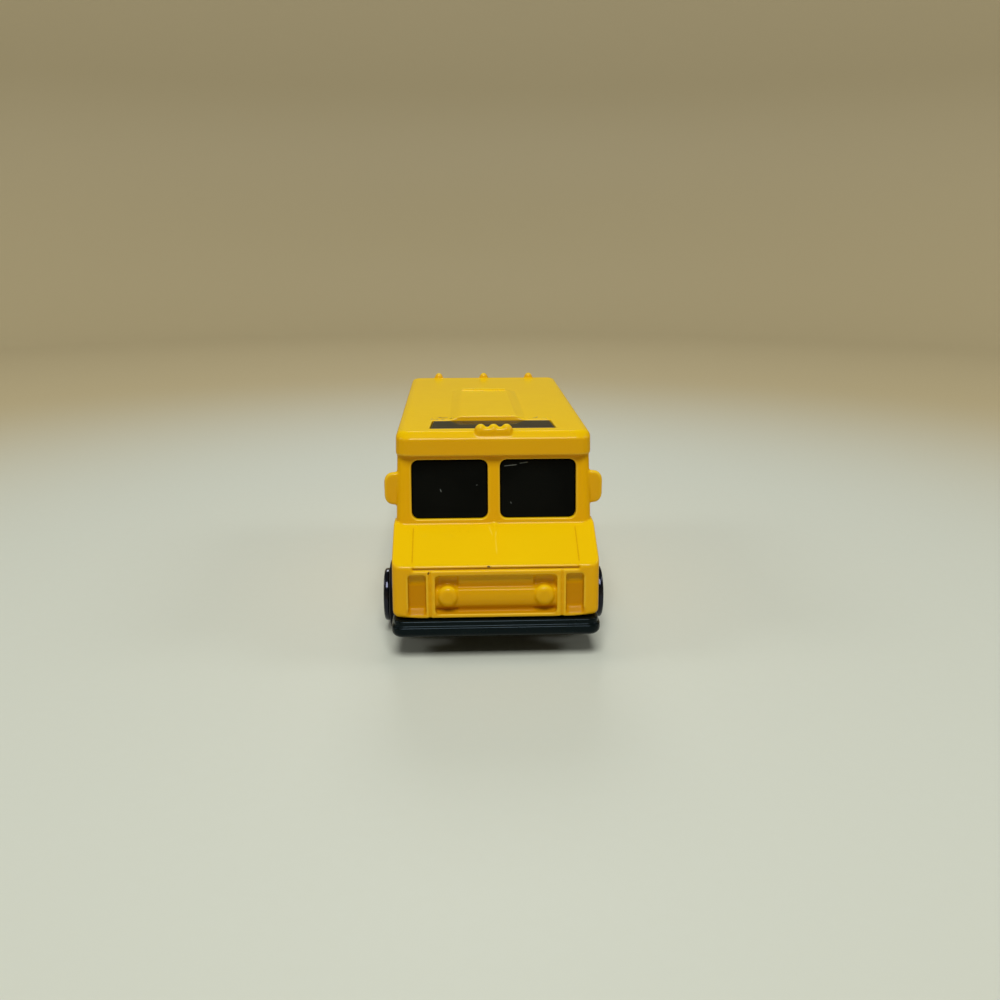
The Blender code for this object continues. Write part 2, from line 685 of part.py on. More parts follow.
def detail_flank(body, sign):
    """Adds a mirror, a sliding door's seams and handle, the box panel and the rub rails to one side."""
    join(body, door_mirror(sign))
    panel = rounded(PANEL_LOW, PANEL_HIGH, 0.8 * MM)
    cut(body, flank_slab("panel", panel, sign, -MM, PANEL_DEPTH))
    for low, high in RAILS:
        outline = rectangle([v * MM for v in low], [v * MM for v in high])
        join(body, flank_slab("rail", outline, sign, -RAIL_RISE, LAP))
    for setback in DOOR_SEAMS:
        seam = rectangle((setback, DOOR_LOW), (setback + GROOVE, DOOR_TOP))
        cut(body, flank_slab("door_seam", seam, sign, -MM, GROOVE_DEPTH))
    top = rectangle((DOOR_SEAMS[0] + GROOVE / 2, DOOR_TOP - GROOVE), (DOOR_SEAMS[1] + GROOVE / 2, DOOR_TOP))
    cut(body, flank_slab("door_top", top, sign, -MM, GROOVE_DEPTH * 0.9))
    handle = rounded((17.2 * MM, 15.4 * MM), (19.2 * MM, 16.2 * MM), 0.3 * MM)
    join(body, flank_slab("handle", handle, sign, -0.35 * MM, LAP))


def rear_slab(name, outline, outer, inner):
    """A rear outline of (x, height) points as a slab between two depths below the rear face."""
    return slab(name, outline, "Y", REAR_SETBACK - inner, REAR_SETBACK - outer)


def detail_rear(body):
    """Cuts the two rear doors' seams and windows, and adds hinges, handle, lamps and a bare plate."""
    for x in (-REAR_DOOR_HALF, 0.0, REAR_DOOR_HALF):
        seam = rectangle((x - GROOVE / 2, REAR_DOOR_LOW), (x + GROOVE / 2, REAR_DOOR_TOP))
        cut(body, rear_slab("rear_seam", seam, -MM, GROOVE_DEPTH))
    top = rectangle((-REAR_DOOR_HALF, REAR_DOOR_TOP - GROOVE), (REAR_DOOR_HALF, REAR_DOOR_TOP))
    cut(body, rear_slab("rear_top", top, -MM, GROOVE_DEPTH * 0.9))
    for sign in (-1, 1):
        window = rounded(*mirrored(REAR_WINDOW_LOW, REAR_WINDOW_HIGH, sign), 0.8 * MM)
        cut(body, rear_slab("rear_window", window, -MM, 0.35 * MM))
        for height in HINGE_HEIGHTS:
            xs = sorted((sign * (REAR_DOOR_HALF - 1.1 * MM), sign * (REAR_DOOR_HALF + 0.9 * MM)))
            low = (xs[0], REAR_SETBACK - LAP, height)
            high = (xs[1], REAR_SETBACK + 0.35 * MM, height + 0.8 * MM)
            join(body, block("hinge", low, high, 0.15 * MM, 1))
        for height in TAIL_LAMP_HEIGHTS:
            lamp = drum(
                "tail_lamp", "Y", (sign * TAIL_LAMP_X, height), 0.9 * MM,
                REAR_SETBACK - LAP, REAR_SETBACK + 0.4 * MM, 16,
            )
            join(body, lamp)
    handle_low = (0.55 * MM, REAR_SETBACK - LAP, 14.6 * MM)
    join(body, block("rear_handle", handle_low, (3.4 * MM, REAR_SETBACK + 0.45 * MM, 15.4 * MM), 0.2 * MM))
    plate = rounded((-8.6 * MM, 9.2 * MM), (-3.4 * MM, 11.7 * MM), 0.3 * MM)
    join(body, rear_slab("plate", plate, -0.3 * MM, LAP))


def build_body():
    """The painted zinc casting: the whole upper truck in one piece."""
    body = casting_blank()
    cut_wheel_arches(body)
    for sign in (-1, 1):
        detail_flank(body, sign)
    detail_rear(body)
    detail_nose(body)
    detail_roof(body)
    hollow_out(body)
    cut_windows(body)
    return body


def build_glazing():
    """The dark window moulding: a liner in the cab with a raised pad in each opening."""
    depth = WALL + FIT
    lean = depth / math.cos(SCREEN_LEAN)
    top = ROOF_HEIGHT - depth
    outline = [
        (screen_at(GLAZING_FOOT) + lean, GLAZING_FOOT),
        (screen_at(top) + lean, top),
        (GLAZING_END, top),
        (GLAZING_END, GLAZING_FOOT),
    ]
    liner = body_prism("window_glazing", outline, depth)
    lean_inner = (depth + GLAZING_WALL) / math.cos(SCREEN_LEAN)
    below = GLAZING_FOOT - 2 * MM
    inner_top = top - GLAZING_WALL
    inside = [
        (screen_at(below) + lean_inner, below),
        (screen_at(inner_top) + lean_inner, inner_top),
        (GLAZING_END + 2 * MM, inner_top),
        (GLAZING_END + 2 * MM, below),
    ]
    cut(liner, body_prism("inside", inside, depth + GLAZING_WALL))
    for sign in (-1, 1):
        low, high = grown(*mirrored(PANE_LOW, PANE_HIGH, sign), -FIT)
        pane = rounded(low, high, PANE_CORNER - FIT)
        join(liner, screen_slab("pane", pane, GLASS_RECESS, depth + GLAZING_WALL / 2))
        low, high = grown(DOOR_WINDOW_LOW, DOOR_WINDOW_HIGH, -FIT)
        door = rounded(low, high, PANE_CORNER - FIT)
        join(liner, flank_slab("door_pane", door, sign, GLASS_RECESS, depth + GLAZING_WALL / 2))
    skylight = slab(
        "skylight", skylight_outline(-FIT), "Z", inner_top + GLAZING_WALL / 2, ROOF_HEIGHT - SKYLIGHT_RECESS
    )
    return join(liner, skylight)


def bumper_outline(front, rear, half_width, corner):
    """A bumper's plan: its two front corners round, its back square."""
    points = [(-half_width, rear), (half_width, rear)]
    for sign in (1, -1):
        for step in range(CORNER_STEPS + 1):
            share = step if sign > 0 else CORNER_STEPS - step
            angle = share / CORNER_STEPS * math.pi / 2
            x = sign * (half_width - corner + corner * math.cos(angle))
            points.append((x, front + math.copysign(corner * (1 - math.sin(angle)), rear - front)))
    return points


def slot_outline(setback):
    """An axle's slot from the side: round below the axle, open above it."""
    radius = AXLE_RADIUS + FIT
    angles = [math.pi + math.pi * step / 8 for step in range(9)]
    bottom = [(setback + radius * math.cos(a), WHEEL_RADIUS + radius * math.sin(a)) for a in angles]
    return [*bottom, (setback + radius, 9 * MM), (setback - radius, 9 * MM)]


def build_base():
    """The black plastic base: plate, stepped front bumper, rear step, axle troughs and chassis relief."""
    nose_gap = NOSE_BOTTOM - 2 * FIT
    plate_half = SILL_HALF_WIDTH - WALL - 2 * FIT
    plate_front, plate_rear = GRILLE_SETBACK + NOSE_WALL + 2 * FIT, REAR_SETBACK - WALL - 2 * FIT
    base = block("chassis_base", (-plate_half, plate_front, BASE_UNDERSIDE), (plate_half, plate_rear, BASE_TOP))
    skirt = block(
        "skirt",
        (-SKIRT_HALF_WIDTH, 5.0 * MM, SKIRT_BOTTOM),
        (SKIRT_HALF_WIDTH, REAR_SETBACK - 1.3 * MM, SILL_HEIGHT - 1.5 * FIT),
        0.2 * MM,
        1,
    )
    lower_plan = bumper_outline(0.0, BUMPER_END, BUMPER_HALF_WIDTH, 1.5 * MM)
    lower = slab("lower_bumper", lower_plan, "Z", BUMPER_BOTTOM, BUMPER_STEP)
    upper = slab(
        "upper_bumper",
        bumper_outline(BUMPER_LIP, BUMPER_END - FIT, BUMPER_HALF_WIDTH - BUMPER_LIP * 0.6, 1.4 * MM),
        "Z",
        BUMPER_STEP - LAP,
        min(BUMPER_TOP, nose_gap),
    )
    foot = BUMPER_STEP - MM
    round_edges(lower, lambda a, b: min(a.y, b.y) < 5 * MM and max(a.z, b.z) < foot, BUMPER_FOOT_ROUND, 4)
    round_edges(lower, lambda a, b: max(a.y, b.y) < 5 * MM and min(a.z, b.z) > BUMPER_STEP - FIT, 0.25 * MM, 2)
    round_edges(upper, lambda a, b: max(a.y, b.y) < 5 * MM and min(a.z, b.z) > BUMPER_STEP, 0.25 * MM, 2)
    step = block(
        "rear_step",
        (-13.3 * MM, REAR_SETBACK - 3 * MM, 3.75 * MM),
        (13.3 * MM, LENGTH, SILL_HEIGHT - 3 * FIT),
        0.25 * MM,
    )
    step_back = block(
        "step_back",
        (-13.1 * MM, REAR_SETBACK + 0.6 * MM, 3.9 * MM),
        (13.1 * MM, LENGTH - 0.1 * MM, 6.0 * MM),
        0.2 * MM,
    )
    join(base, skirt, lower, upper, step, step_back)
    for setback in AXLE_SETBACKS.values():
        trough_low = (-WELL_INNER_X + MM, setback - TROUGH_HALF_WIDTH, PAD_UNDERSIDE)
        trough_high = (WELL_INNER_X - MM, setback + TROUGH_HALF_WIDTH, BASE_TOP + 0.3 * MM)
        join(base, block("trough", trough_low, trough_high, 0.3 * MM))
        for sign in (-1, 1):
            xs = sorted((sign * WELL_INNER_X, sign * 16 * MM))
            low = (xs[0], setback - WELL_HALF_LENGTH, 0.0)
            high = (xs[1], setback + WELL_HALF_LENGTH, 9 * MM)
            cut(base, block("well", low, high))
        cut(base, slab("axle_slot", slot_outline(setback), "X", -14 * MM, 14 * MM))
    pad = block(
        "pad",
        (-PAD_HALF[0], PAD_MIDDLE - PAD_HALF[1], PAD_UNDERSIDE),
        (PAD_HALF[0], PAD_MIDDLE + PAD_HALF[1], BASE_TOP - MM / 2),
    )
    join(base, pad)
    for x in (-6.4 * MM, 6.4 * MM):
        rail_low = (x - 0.6 * MM, 17.0 * MM, BUMPER_BOTTOM)
        join(base, block("frame_rail", rail_low, (x + 0.6 * MM, 45.0 * MM, BASE_TOP - MM / 2), 0.2 * MM))
    join(
        base,
        block("fuel_tank", (8.0 * MM, 24.0 * MM, 3.55 * MM), (12.2 * MM, 36.0 * MM, 5.0 * MM), 0.5 * MM),
        drum("exhaust", "Y", (-9.4 * MM, 4.3 * MM), 0.7 * MM, 22.0 * MM, 42.0 * MM, 12),
        drum("silencer", "Y", (-9.4 * MM, 4.4 * MM), 1.1 * MM, 28.0 * MM, 37.0 * MM, 16),
    )
    for setback in POST_SETBACKS.values():
        boss = drum("boss", "Z", (0, setback), 3.2 * MM, PAD_UNDERSIDE, BASE_TOP - 0.2 * MM)
        join(base, boss)
        cut(
            base,
            drum("rivet_seat", "Z", (0, setback), RIVET_HEAD_RADIUS + 2 * FIT, 0.0, BASE_UNDERSIDE + FIT),
            drum("post_seat", "Z", (0, setback), POST_RADIUS + 2 * FIT, POST_END - FIT, 9 * MM),
            drum("rivet_hole", "Z", (0, setback), RIVET_RADIUS + FIT, 0.0, 9 * MM),
        )
    return base


def build_floor():
    """The floor insert: a plate that closes both axle troughs, with a dashboard, seat and steering wheel."""
    floor = block(
        "interior_floor",
        (-FLOOR_HALF_WIDTH, FLOOR_FRONT, FLOOR_BOTTOM),
        (FLOOR_HALF_WIDTH, FLOOR_REAR, FLOOR_TOP),
        0.2 * MM,
        1,
    )
    keeper_end = WHEEL_RADIUS + AXLE_RADIUS + FIT
    for setback in AXLE_SETBACKS.values():
        for x in (-7.0 * MM, 7.0 * MM):
            keeper_low = (x - 1.2 * MM, setback - 0.5 * MM, keeper_end)
            join(floor, block("keeper", keeper_low, (x + 1.2 * MM, setback + 0.5 * MM, FLOOR_TOP - MM / 4)))
    root = FLOOR_TOP - MM / 2
    dash = block("dash", (-10.6 * MM, 10.4 * MM, root), (10.6 * MM, 12.6 * MM, 16.4 * MM), 0.4 * MM)
    seat = block("seat", (2.0 * MM, 15.6 * MM, root), (8.6 * MM, 20.0 * MM, 11.2 * MM), 0.6 * MM)
    back = block("back", (2.3 * MM, 19.0 * MM, root + MM / 4), (8.3 * MM, 20.4 * MM, 18.4 * MM), 0.5 * MM)
    column = drum("column", "Y", (5.3 * MM, 14.6 * MM), 0.5 * MM, 12.2 * MM, 13.6 * MM, 12)
    wheel = drum("steering_wheel", "Y", (5.3 * MM, 14.6 * MM), 2.2 * MM, 13.2 * MM, 13.8 * MM)
    return join(floor, dash, seat, back, column, wheel)


def build_axle(name):
    """A steel axle, headed at both ends outside the hubs, made about its own middle."""
    head_start = HUB_OUTER_FACE - 0.45 * MM
    axle = drum(name, "X", (0, 0), AXLE_RADIUS, -head_start - 0.1 * MM, head_start + 0.1 * MM)
    for sign in (-1, 1):
        low, high = sorted((sign * head_start, sign * (head_start + 0.35 * MM)))
        join(axle, drum("head", "X", (0, 0), 1.05 * MM, low, high))
    return axle


def build_tyre(name):
    """A tyre about its own axle, its outer face towards +X, with X counted from the truck's middle."""
    inner, outer, bore = TYRE_INNER_FACE, TYRE_OUTER_FACE, TYRE_BORE_RADIUS
    shoulder = 0.35 * MM
    profile = [
        (inner + 0.1 * MM, bore),
        (inner, bore + 0.9 * MM),
        (inner + 0.15 * MM, WHEEL_RADIUS - shoulder),
        (inner + 0.55 * MM, WHEEL_RADIUS),
        (outer - 0.6 * MM, WHEEL_RADIUS),
        (outer - 0.2 * MM, WHEEL_RADIUS - shoulder * 0.55),
        (outer, WHEEL_RADIUS - shoulder * 1.7),
        (outer, bore),
    ]
    return turned(name, profile, TYRE_STEPS)


def build_hub(name):
    """A wheel disc with a proud rim outside the tyre, round holes and a boss that runs on the axle."""
    barrel = TYRE_BORE_RADIUS - FIT
    rim, step = HUB_RIM_RADIUS, TYRE_OUTER_FACE + FIT
    inner, outer = TYRE_INNER_FACE + 0.3 * MM, HUB_OUTER_FACE
    face = outer - 1.3 * MM
    boss = outer - 0.65 * MM
    profile = [
        (inner, AXLE_BORE_RADIUS),
        (inner, barrel),
        (step, barrel),
        (step, rim),
        (outer - 0.3 * MM, rim),
        (outer - 0.08 * MM, rim - 0.13 * MM),
        (outer, rim - 0.4 * MM),
        (outer - 0.1 * MM, rim - 0.62 * MM),
        (face, rim - 1.0 * MM),
        (face + 0.1 * MM, 1.75 * MM),
        (boss, 1.4 * MM),
        (boss, AXLE_BORE_RADIUS),
    ]
    hub = turned(name, profile, HUB_STEPS)
    holes = 6
    for i in range(holes):
        angle = 2 * math.pi * (i + 0.5) / holes
        centre = (2.3 * MM * math.cos(angle), 2.3 * MM * math.sin(angle))
        cut(hub, drum("hole", "X", centre, 0.4 * MM, face - 0.7 * MM, outer + MM, 8))
    return hub


def build_rivet(name):
    """A rivet: a head under the base, and a shank that fills the bore of a post."""
    head_top = BASE_UNDERSIDE - FIT / 2
    head = drum(name, "Z", (0, 0), RIVET_HEAD_RADIUS * 0.85, PAD_UNDERSIDE + 0.1 * MM, head_top,
                far_radius=RIVET_HEAD_RADIUS)
    return join(head, drum("shank", "Z", (0, 0), RIVET_RADIUS, head_top - 0.3 * MM, POST_END + RIVET_DEPTH))


def finish(obj, material, parent, location=(0, 0, 0), turned_round=False):
    """Gives a piece its material and shading, and places it on the truck."""
    obj.data.materials.clear()
    obj.data.materials.append(material)
    obj.data.shade_smooth()
    obj.data.set_sharp_from_angle(angle=math.radians(32))
    obj.parent = parent
    obj.location = location
    obj.rotation_euler = (0, 0, math.pi if turned_round else 0)


def main():
    """Builds every piece of the truck and places it."""
    clear_scene()
    yellow = plain_material("yellow_paint", (0.83, 0.51, 0.010), 0.22)
    black = plain_material("black_plastic", (0.012, 0.014, 0.015), 0.35)
    smoke = plain_material("smoke_glazing", (0.006, 0.007, 0.008), 0.12)
    tread = plain_material("tyre_plastic", (0.014, 0.014, 0.016), 0.45)
    gloss = plain_material("wheel_gloss", (0.012, 0.012, 0.014), 0.18)
    steel = plain_material("bright_steel", (0.55, 0.55, 0.56), 0.3, 1.0)

    truck = bpy.data.objects.new("toy_truck", None)
    truck.location = (0, -LENGTH / 2, 0)
    bpy.context.scene.collection.objects.link(truck)

    finish(build_body(), yellow, truck)
    finish(build_glazing(), smoke, truck)
    finish(build_base(), black, truck)
    finish(build_floor(), black, truck)
    for end, setback in POST_SETBACKS.items():
        finish(build_rivet(f"rivet_{end}"), steel, truck, (0, setback, 0))
    for end, setback in AXLE_SETBACKS.items():
        centre = (0, setback, WHEEL_RADIUS)
        finish(build_axle(f"axle_{end}"), steel, truck, centre)
        for side in ("left", "right"):
            finish(build_tyre(f"tyre_{end}_{side}"), tread, truck, centre, side == "right")
            finish(build_hub(f"hub_{end}_{side}"), gloss, truck, centre, side == "right")


if __name__ == "__main__":
    main()
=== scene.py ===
"""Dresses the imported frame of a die-cast toy step van in enamel, smoked glazing and black plastic."""
import logging
import math
from dataclasses import dataclass
from enum import Enum
from typing import Any, Iterable, Optional, Union

import bmesh
import bpy
import numpy as np
from mathutils import Matrix, Vector, kdtree


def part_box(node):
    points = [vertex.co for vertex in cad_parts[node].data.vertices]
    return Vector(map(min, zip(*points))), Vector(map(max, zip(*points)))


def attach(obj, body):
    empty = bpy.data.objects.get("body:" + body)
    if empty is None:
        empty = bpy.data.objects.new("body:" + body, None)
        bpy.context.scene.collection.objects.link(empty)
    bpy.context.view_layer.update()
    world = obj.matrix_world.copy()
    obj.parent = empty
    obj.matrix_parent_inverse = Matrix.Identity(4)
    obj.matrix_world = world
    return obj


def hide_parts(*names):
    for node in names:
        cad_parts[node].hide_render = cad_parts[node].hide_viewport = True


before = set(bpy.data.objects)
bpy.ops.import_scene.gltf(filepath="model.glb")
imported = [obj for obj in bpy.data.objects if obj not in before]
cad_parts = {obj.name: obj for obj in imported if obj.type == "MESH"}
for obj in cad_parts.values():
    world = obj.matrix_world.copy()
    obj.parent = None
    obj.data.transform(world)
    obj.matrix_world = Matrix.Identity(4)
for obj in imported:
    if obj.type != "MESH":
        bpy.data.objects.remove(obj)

MM = 0.001
FRONT = -32.5 * MM
CAB_REAR = (-18 * MM, -20 * MM)
MERGE = 0.0002 * MM
log = logging.getLogger("step_van")

Colour = tuple[float, float, float, float]
Point = tuple[float, float]
Place = tuple[float, float, float]
Span = tuple[float, float]


def metres(span: Span) -> Span:
    """Turns the two ends of a soft step from millimetres into metres."""
    return (span[0] * MM, span[1] * MM)


def srgb(red: int, green: int, blue: int) -> Colour:
    """Turns a display colour into the linear colour that a shader takes.

    Args:
        red: Red from 0 to 255.
        green: Green from 0 to 255.
        blue: Blue from 0 to 255.

    Returns:
        The linear colour with a full alpha.
    """
    shares = [channel / 255 for channel in (red, green, blue)]
    linear = [s / 12.92 if s <= 0.04045 else ((s + 0.055) / 1.055) ** 2.4 for s in shares]
    return (linear[0], linear[1], linear[2], 1.0)


class End(Enum):
    """Which axle a piece belongs to."""

    FRONT = "front"
    REAR = "rear"


class Side(Enum):
    """The driver's side of the truck, with its sign along X."""

    LEFT = 1
    RIGHT = -1


class Wire:
    """A shader socket that takes part in Python arithmetic."""

    def __init__(self, graph: "Graph", socket: bpy.types.NodeSocket) -> None:
        """Keeps the socket and its graph."""
        self.graph = graph
        self.socket = socket

    def _math(self, operation: str, first: "Operand", second: "Operand") -> "Wire":
        """Adds a Math node on two operands."""
        return self.graph.node("ShaderNodeMath", {"operation": operation}, {0: first, 1: second})

    def __add__(self, other: "Operand") -> "Wire":
        """This value plus another."""
        return self._math("ADD", self, other)

    def __radd__(self, other: "Operand") -> "Wire":
        """Another value plus this one."""
        return self._math("ADD", other, self)

    def __sub__(self, other: "Operand") -> "Wire":
        """This value less another."""
        return self._math("SUBTRACT", self, other)

    def __rsub__(self, other: "Operand") -> "Wire":
        """Another value less this one."""
        return self._math("SUBTRACT", other, self)

    def __mul__(self, other: "Operand") -> "Wire":
        """This value times another."""
        return self._math("MULTIPLY", self, other)

    def __rmul__(self, other: "Operand") -> "Wire":
        """Another value times this one."""
        return self._math("MULTIPLY", other, self)

    def __truediv__(self, other: "Operand") -> "Wire":
        """This value over another."""
        return self._math("DIVIDE", self, other)

    def __abs__(self) -> "Wire":
        """This value without its sign."""
        return self._math("ABSOLUTE", self, 0.0)

    def larger(self, other: "Operand") -> "Wire":
        """The larger of two values."""
        return self._math("MAXIMUM", self, other)

    def rise(self, low: float, high: float) -> "Wire":
        """A smooth step of this value.

        Args:
            low: Where the step leaves 0.
            high: Where it reaches 1; below low, the step falls instead.

        Returns:
            A value from 0 to 1.
        """
        start, end = sorted((low, high))
        ends = (0.0, 1.0) if low < high else (1.0, 0.0)
        return self.graph.node(
            "ShaderNodeMapRange",
            {"interpolation_type": "SMOOTHSTEP"},
            {"Value": self, "From Min": start, "From Max": end, "To Min": ends[0], "To Max": ends[1]},
        )


Operand = Union[Wire, float]


class Graph:
    """A node tree that is filled through one method."""

    def __init__(self, tree: bpy.types.NodeTree) -> None:
        """Keeps the tree and empties it."""
        self.tree = tree
        tree.nodes.clear()

    def node(
        self,
        kind: str,
        settings: Optional[dict[str, Any]] = None,
        sockets: Optional[dict[Union[int, str], Any]] = None,
        output: Union[int, str] = 0,
    ) -> Wire:
        """Adds one node.

        Args:
            kind: The node's type.
            settings: Its own settings, which are set first.
            sockets: Values or wires for its inputs, by name or number.
            output: Which output the wire comes from.

        Returns:
            The wire from that output; a node that ends the tree has none.
        """
        made = self.tree.nodes.new(kind)
        for key, value in (settings or {}).items():
            setattr(made, key, value)
        for key, value in (sockets or {}).items():
            if isinstance(value, Wire):
                self.tree.links.new(value.socket, made.inputs[key])
            else:
                made.inputs[key].default_value = value
        outputs = made.outputs
        return Wire(self, outputs[output]) if len(outputs) else None

    def place(self) -> Wire:
        """The point on the piece, in the truck's own frame."""
        return self.node("ShaderNodeTexCoord", output="Object")

    def axes(self) -> tuple[Wire, Wire, Wire]:
        """The point's three coordinates as values."""
        split = self.node("ShaderNodeSeparateXYZ", sockets={0: self.place()}).socket.node
        return tuple(Wire(self, split.outputs[i]) for i in range(3))

    def noise(self, grain: float, detail: float = 2.0, stretch: Optional[Place] = None) -> Wire:
        """Smooth noise over the piece.

        Args:
            grain: The size of its spots, in metres.
            detail: How many finer layers it has.
            stretch: How much each axis is packed, for streaks.

        Returns:
            A value that stays around 0.5.
        """
        at = self.place()
        if stretch:
            at = self.node("ShaderNodeMapping", sockets={"Vector": at, "Scale": stretch})
        return self.node(
            "ShaderNodeTexNoise", sockets={"Vector": at, "Scale": 1 / grain, "Detail": detail}
        )

    def mix(self, share: Operand, first: Union[Wire, Colour], second: Union[Wire, Colour]) -> Wire:
        """Blends two colours.

        Args:
            share: How much of the second shows.
            first: The colour at 0.
            second: The colour at 1.

        Returns:
            The blended colour.
        """
        return self.node(
            "ShaderNodeMix", {"data_type": "RGBA"}, {0: share, 6: first, 7: second}, output=2
        )

    def spot(self, centre: Place, radius: float) -> Wire:
        """A ragged mark round one point.

        Args:
            centre: The point, in millimetres.
            radius: The mark's radius, in metres.

        Returns:
            1 inside the mark and 0 outside.
        """
        middle = tuple(share * MM for share in centre)
        away = self.node(
            "ShaderNodeVectorMath", {"operation": "DISTANCE"}, {0: self.place(), 1: middle},
            output="Value",
        )
        ragged = away + radius * (self.noise(0.3 * MM, 2.0) - 0.5)
        return ragged.rise(radius, 0.7 * radius)

    def stroke(self, first: Point, second: Point, width: float) -> Wire:
        """A hairline across the truck's front.

        Args:
            first: One end as (x, z), in millimetres.
            second: The other end.
            width: The line's half width, in metres.

        Returns:
            1 on the line and 0 off it.
        """
        x, y, z = self.axes()
        start, end = (Vector((a * MM, b * MM)) for a, b in (first, second))
        reach = (end - start).length
        way = (end - start) / reach
        right, up = x - start.x, z - start.y
        along = right * way.x + up * way.y
        across = abs(right * way.y - up * way.x) + width * (self.noise(0.5 * MM, 3.0) - 0.5)
        ends = along.rise(0, 3 * width) * along.rise(reach, reach - 3 * width)
        return across.rise(width, 0.3 * width) * ends * y.rise(*CAB_REAR)

    def bump(self, height: Wire, depth: float, strength: float = 1.0) -> Wire:
        """Turns a height into a normal.

        Args:
            height: The relief, from 0 to 1.
            depth: How deep that relief is, in metres.
            strength: How much of it shows.

        Returns:
            The bent normal.
        """
        return self.node(
            "ShaderNodeBump", sockets={"Height": height, "Distance": depth, "Strength": strength}
        )


class Finish:
    """What every finish shares: a material whose shader the finish fills."""

    def dress(self, title: str, constants: dict[str, Any]) -> tuple[bpy.types.Material, Graph]:
        """Starts a material.

        Args:
            title: The material's name.
            constants: Values that are the same all over the surface.

        Returns:
            The material and its graph, with the shader in place.
        """
        material = bpy.data.materials.new(title)
        material.use_nodes = True
        graph = Graph(material.node_tree)
        shader = graph.node("ShaderNodeBsdfPrincipled", sockets=constants)
        graph.node("ShaderNodeOutputMaterial", sockets={"Surface": shader})
        return material, graph

    def connect(self, material: bpy.types.Material, wires: dict[str, Wire]) -> bpy.types.Material:
        """Feeds what varies over the surface into the shader.

        Args:
            material: A material from dress.
            wires: The wires, by the shader's socket.

        Returns:
            The same material.
        """
        tree = material.node_tree
        shader = next(n for n in tree.nodes if n.type == "BSDF_PRINCIPLED")
        for socket, wire in wires.items():
            tree.links.new(wire.socket, shader.inputs[socket])
        return material


@dataclass(frozen=True)
class RoofFlecks:
    """Flaked paint behind the roof's strip of glazing; lengths in mm."""

    strip_rear: float = 18.9
    behind: Span = (0.1, 0.5)
    reach: Span = (2.6, 2.0)
    inner: Span = (5.6, 6.1)
    outer: Span = (9.3, 8.8)
    height: Span = (29.9, 30.1)
    grain: float = 0.9
    sparse: Span = (0.55, 0.61)
    share: float = 0.8

    def wire(self, graph: Graph) -> Wire:
        """Marks the flecks.

        Args:
            graph: The enamel's graph.

        Returns:
            A share that is 0 everywhere else.
        """
        x, y, z = graph.axes()
        back = y - (FRONT + self.strip_rear * MM)
        band = back.rise(*metres(self.behind)) * back.rise(*metres(self.reach))
        beside = abs(x).rise(*metres(self.inner)) * abs(x).rise(*metres(self.outer))
        within = beside * z.rise(*metres(self.height))
        return self.share * band * within * graph.noise(self.grain * MM).rise(*self.sparse)


@dataclass(frozen=True)
class NoseRecesses:
    """Painted light on the tops of the nose's recesses and painted shade on their floors and ledges;
    lengths in mm.
    """

    setback: float = 1.0
    bottom: float = 6.05
    lean: float = 12
    half_width: Span = (12.6, 12.2)
    back: Span = (2.2, 1.8)
    top: Span = (10.3, 11.3)
    top_end: Span = (12.8, 12.4)
    top_depth: Span = (0.1, 0.4)
    floor: Span = (11.4, 10.3)
    floor_depth: Span = (0.2, 0.7)
    floor_share: float = 0.65
    ledge_bottom: Span = (6.4, 6.6)
    ledge_top: Span = (7.6, 7.1)
    ledge_depth: Span = (-0.12, 0.12)
    ledge_share: float = 0.75
    post: float = 9.0
    post_edge: Span = (0.5, 0.7)

    def wires(self, graph: Graph) -> tuple[Wire, Wire]:
        """Marks the recesses' tops for painted light, and their floors and ledges for painted shade.

        Args:
            graph: The enamel's graph.

        Returns:
            How much painted light the tops take, and how much painted shade the floors and ledges take,
            both 0 everywhere else.
        """
        x, y, z = graph.axes()
        sunk = y - (FRONT + self.setback * MM + (z - self.bottom * MM) / self.lean)
        within = abs(x).rise(*metres(self.half_width)) * sunk.rise(*metres(self.back))
        top = z.rise(*metres(self.top)) * z.rise(*metres(self.top_end))
        floor = self.floor_share * sunk.rise(*metres(self.floor_depth)) * z.rise(*metres(self.floor))
        ledge = z.rise(*metres(self.ledge_bottom)) * z.rise(*metres(self.ledge_top))
        beside_post = abs(abs(x) - self.post * MM).rise(*metres(self.post_edge))
        foot = self.ledge_share * sunk.rise(*metres(self.ledge_depth)) * ledge * beside_post
        return within * sunk.rise(*metres(self.top_depth)) * top, within * floor.larger(foot)


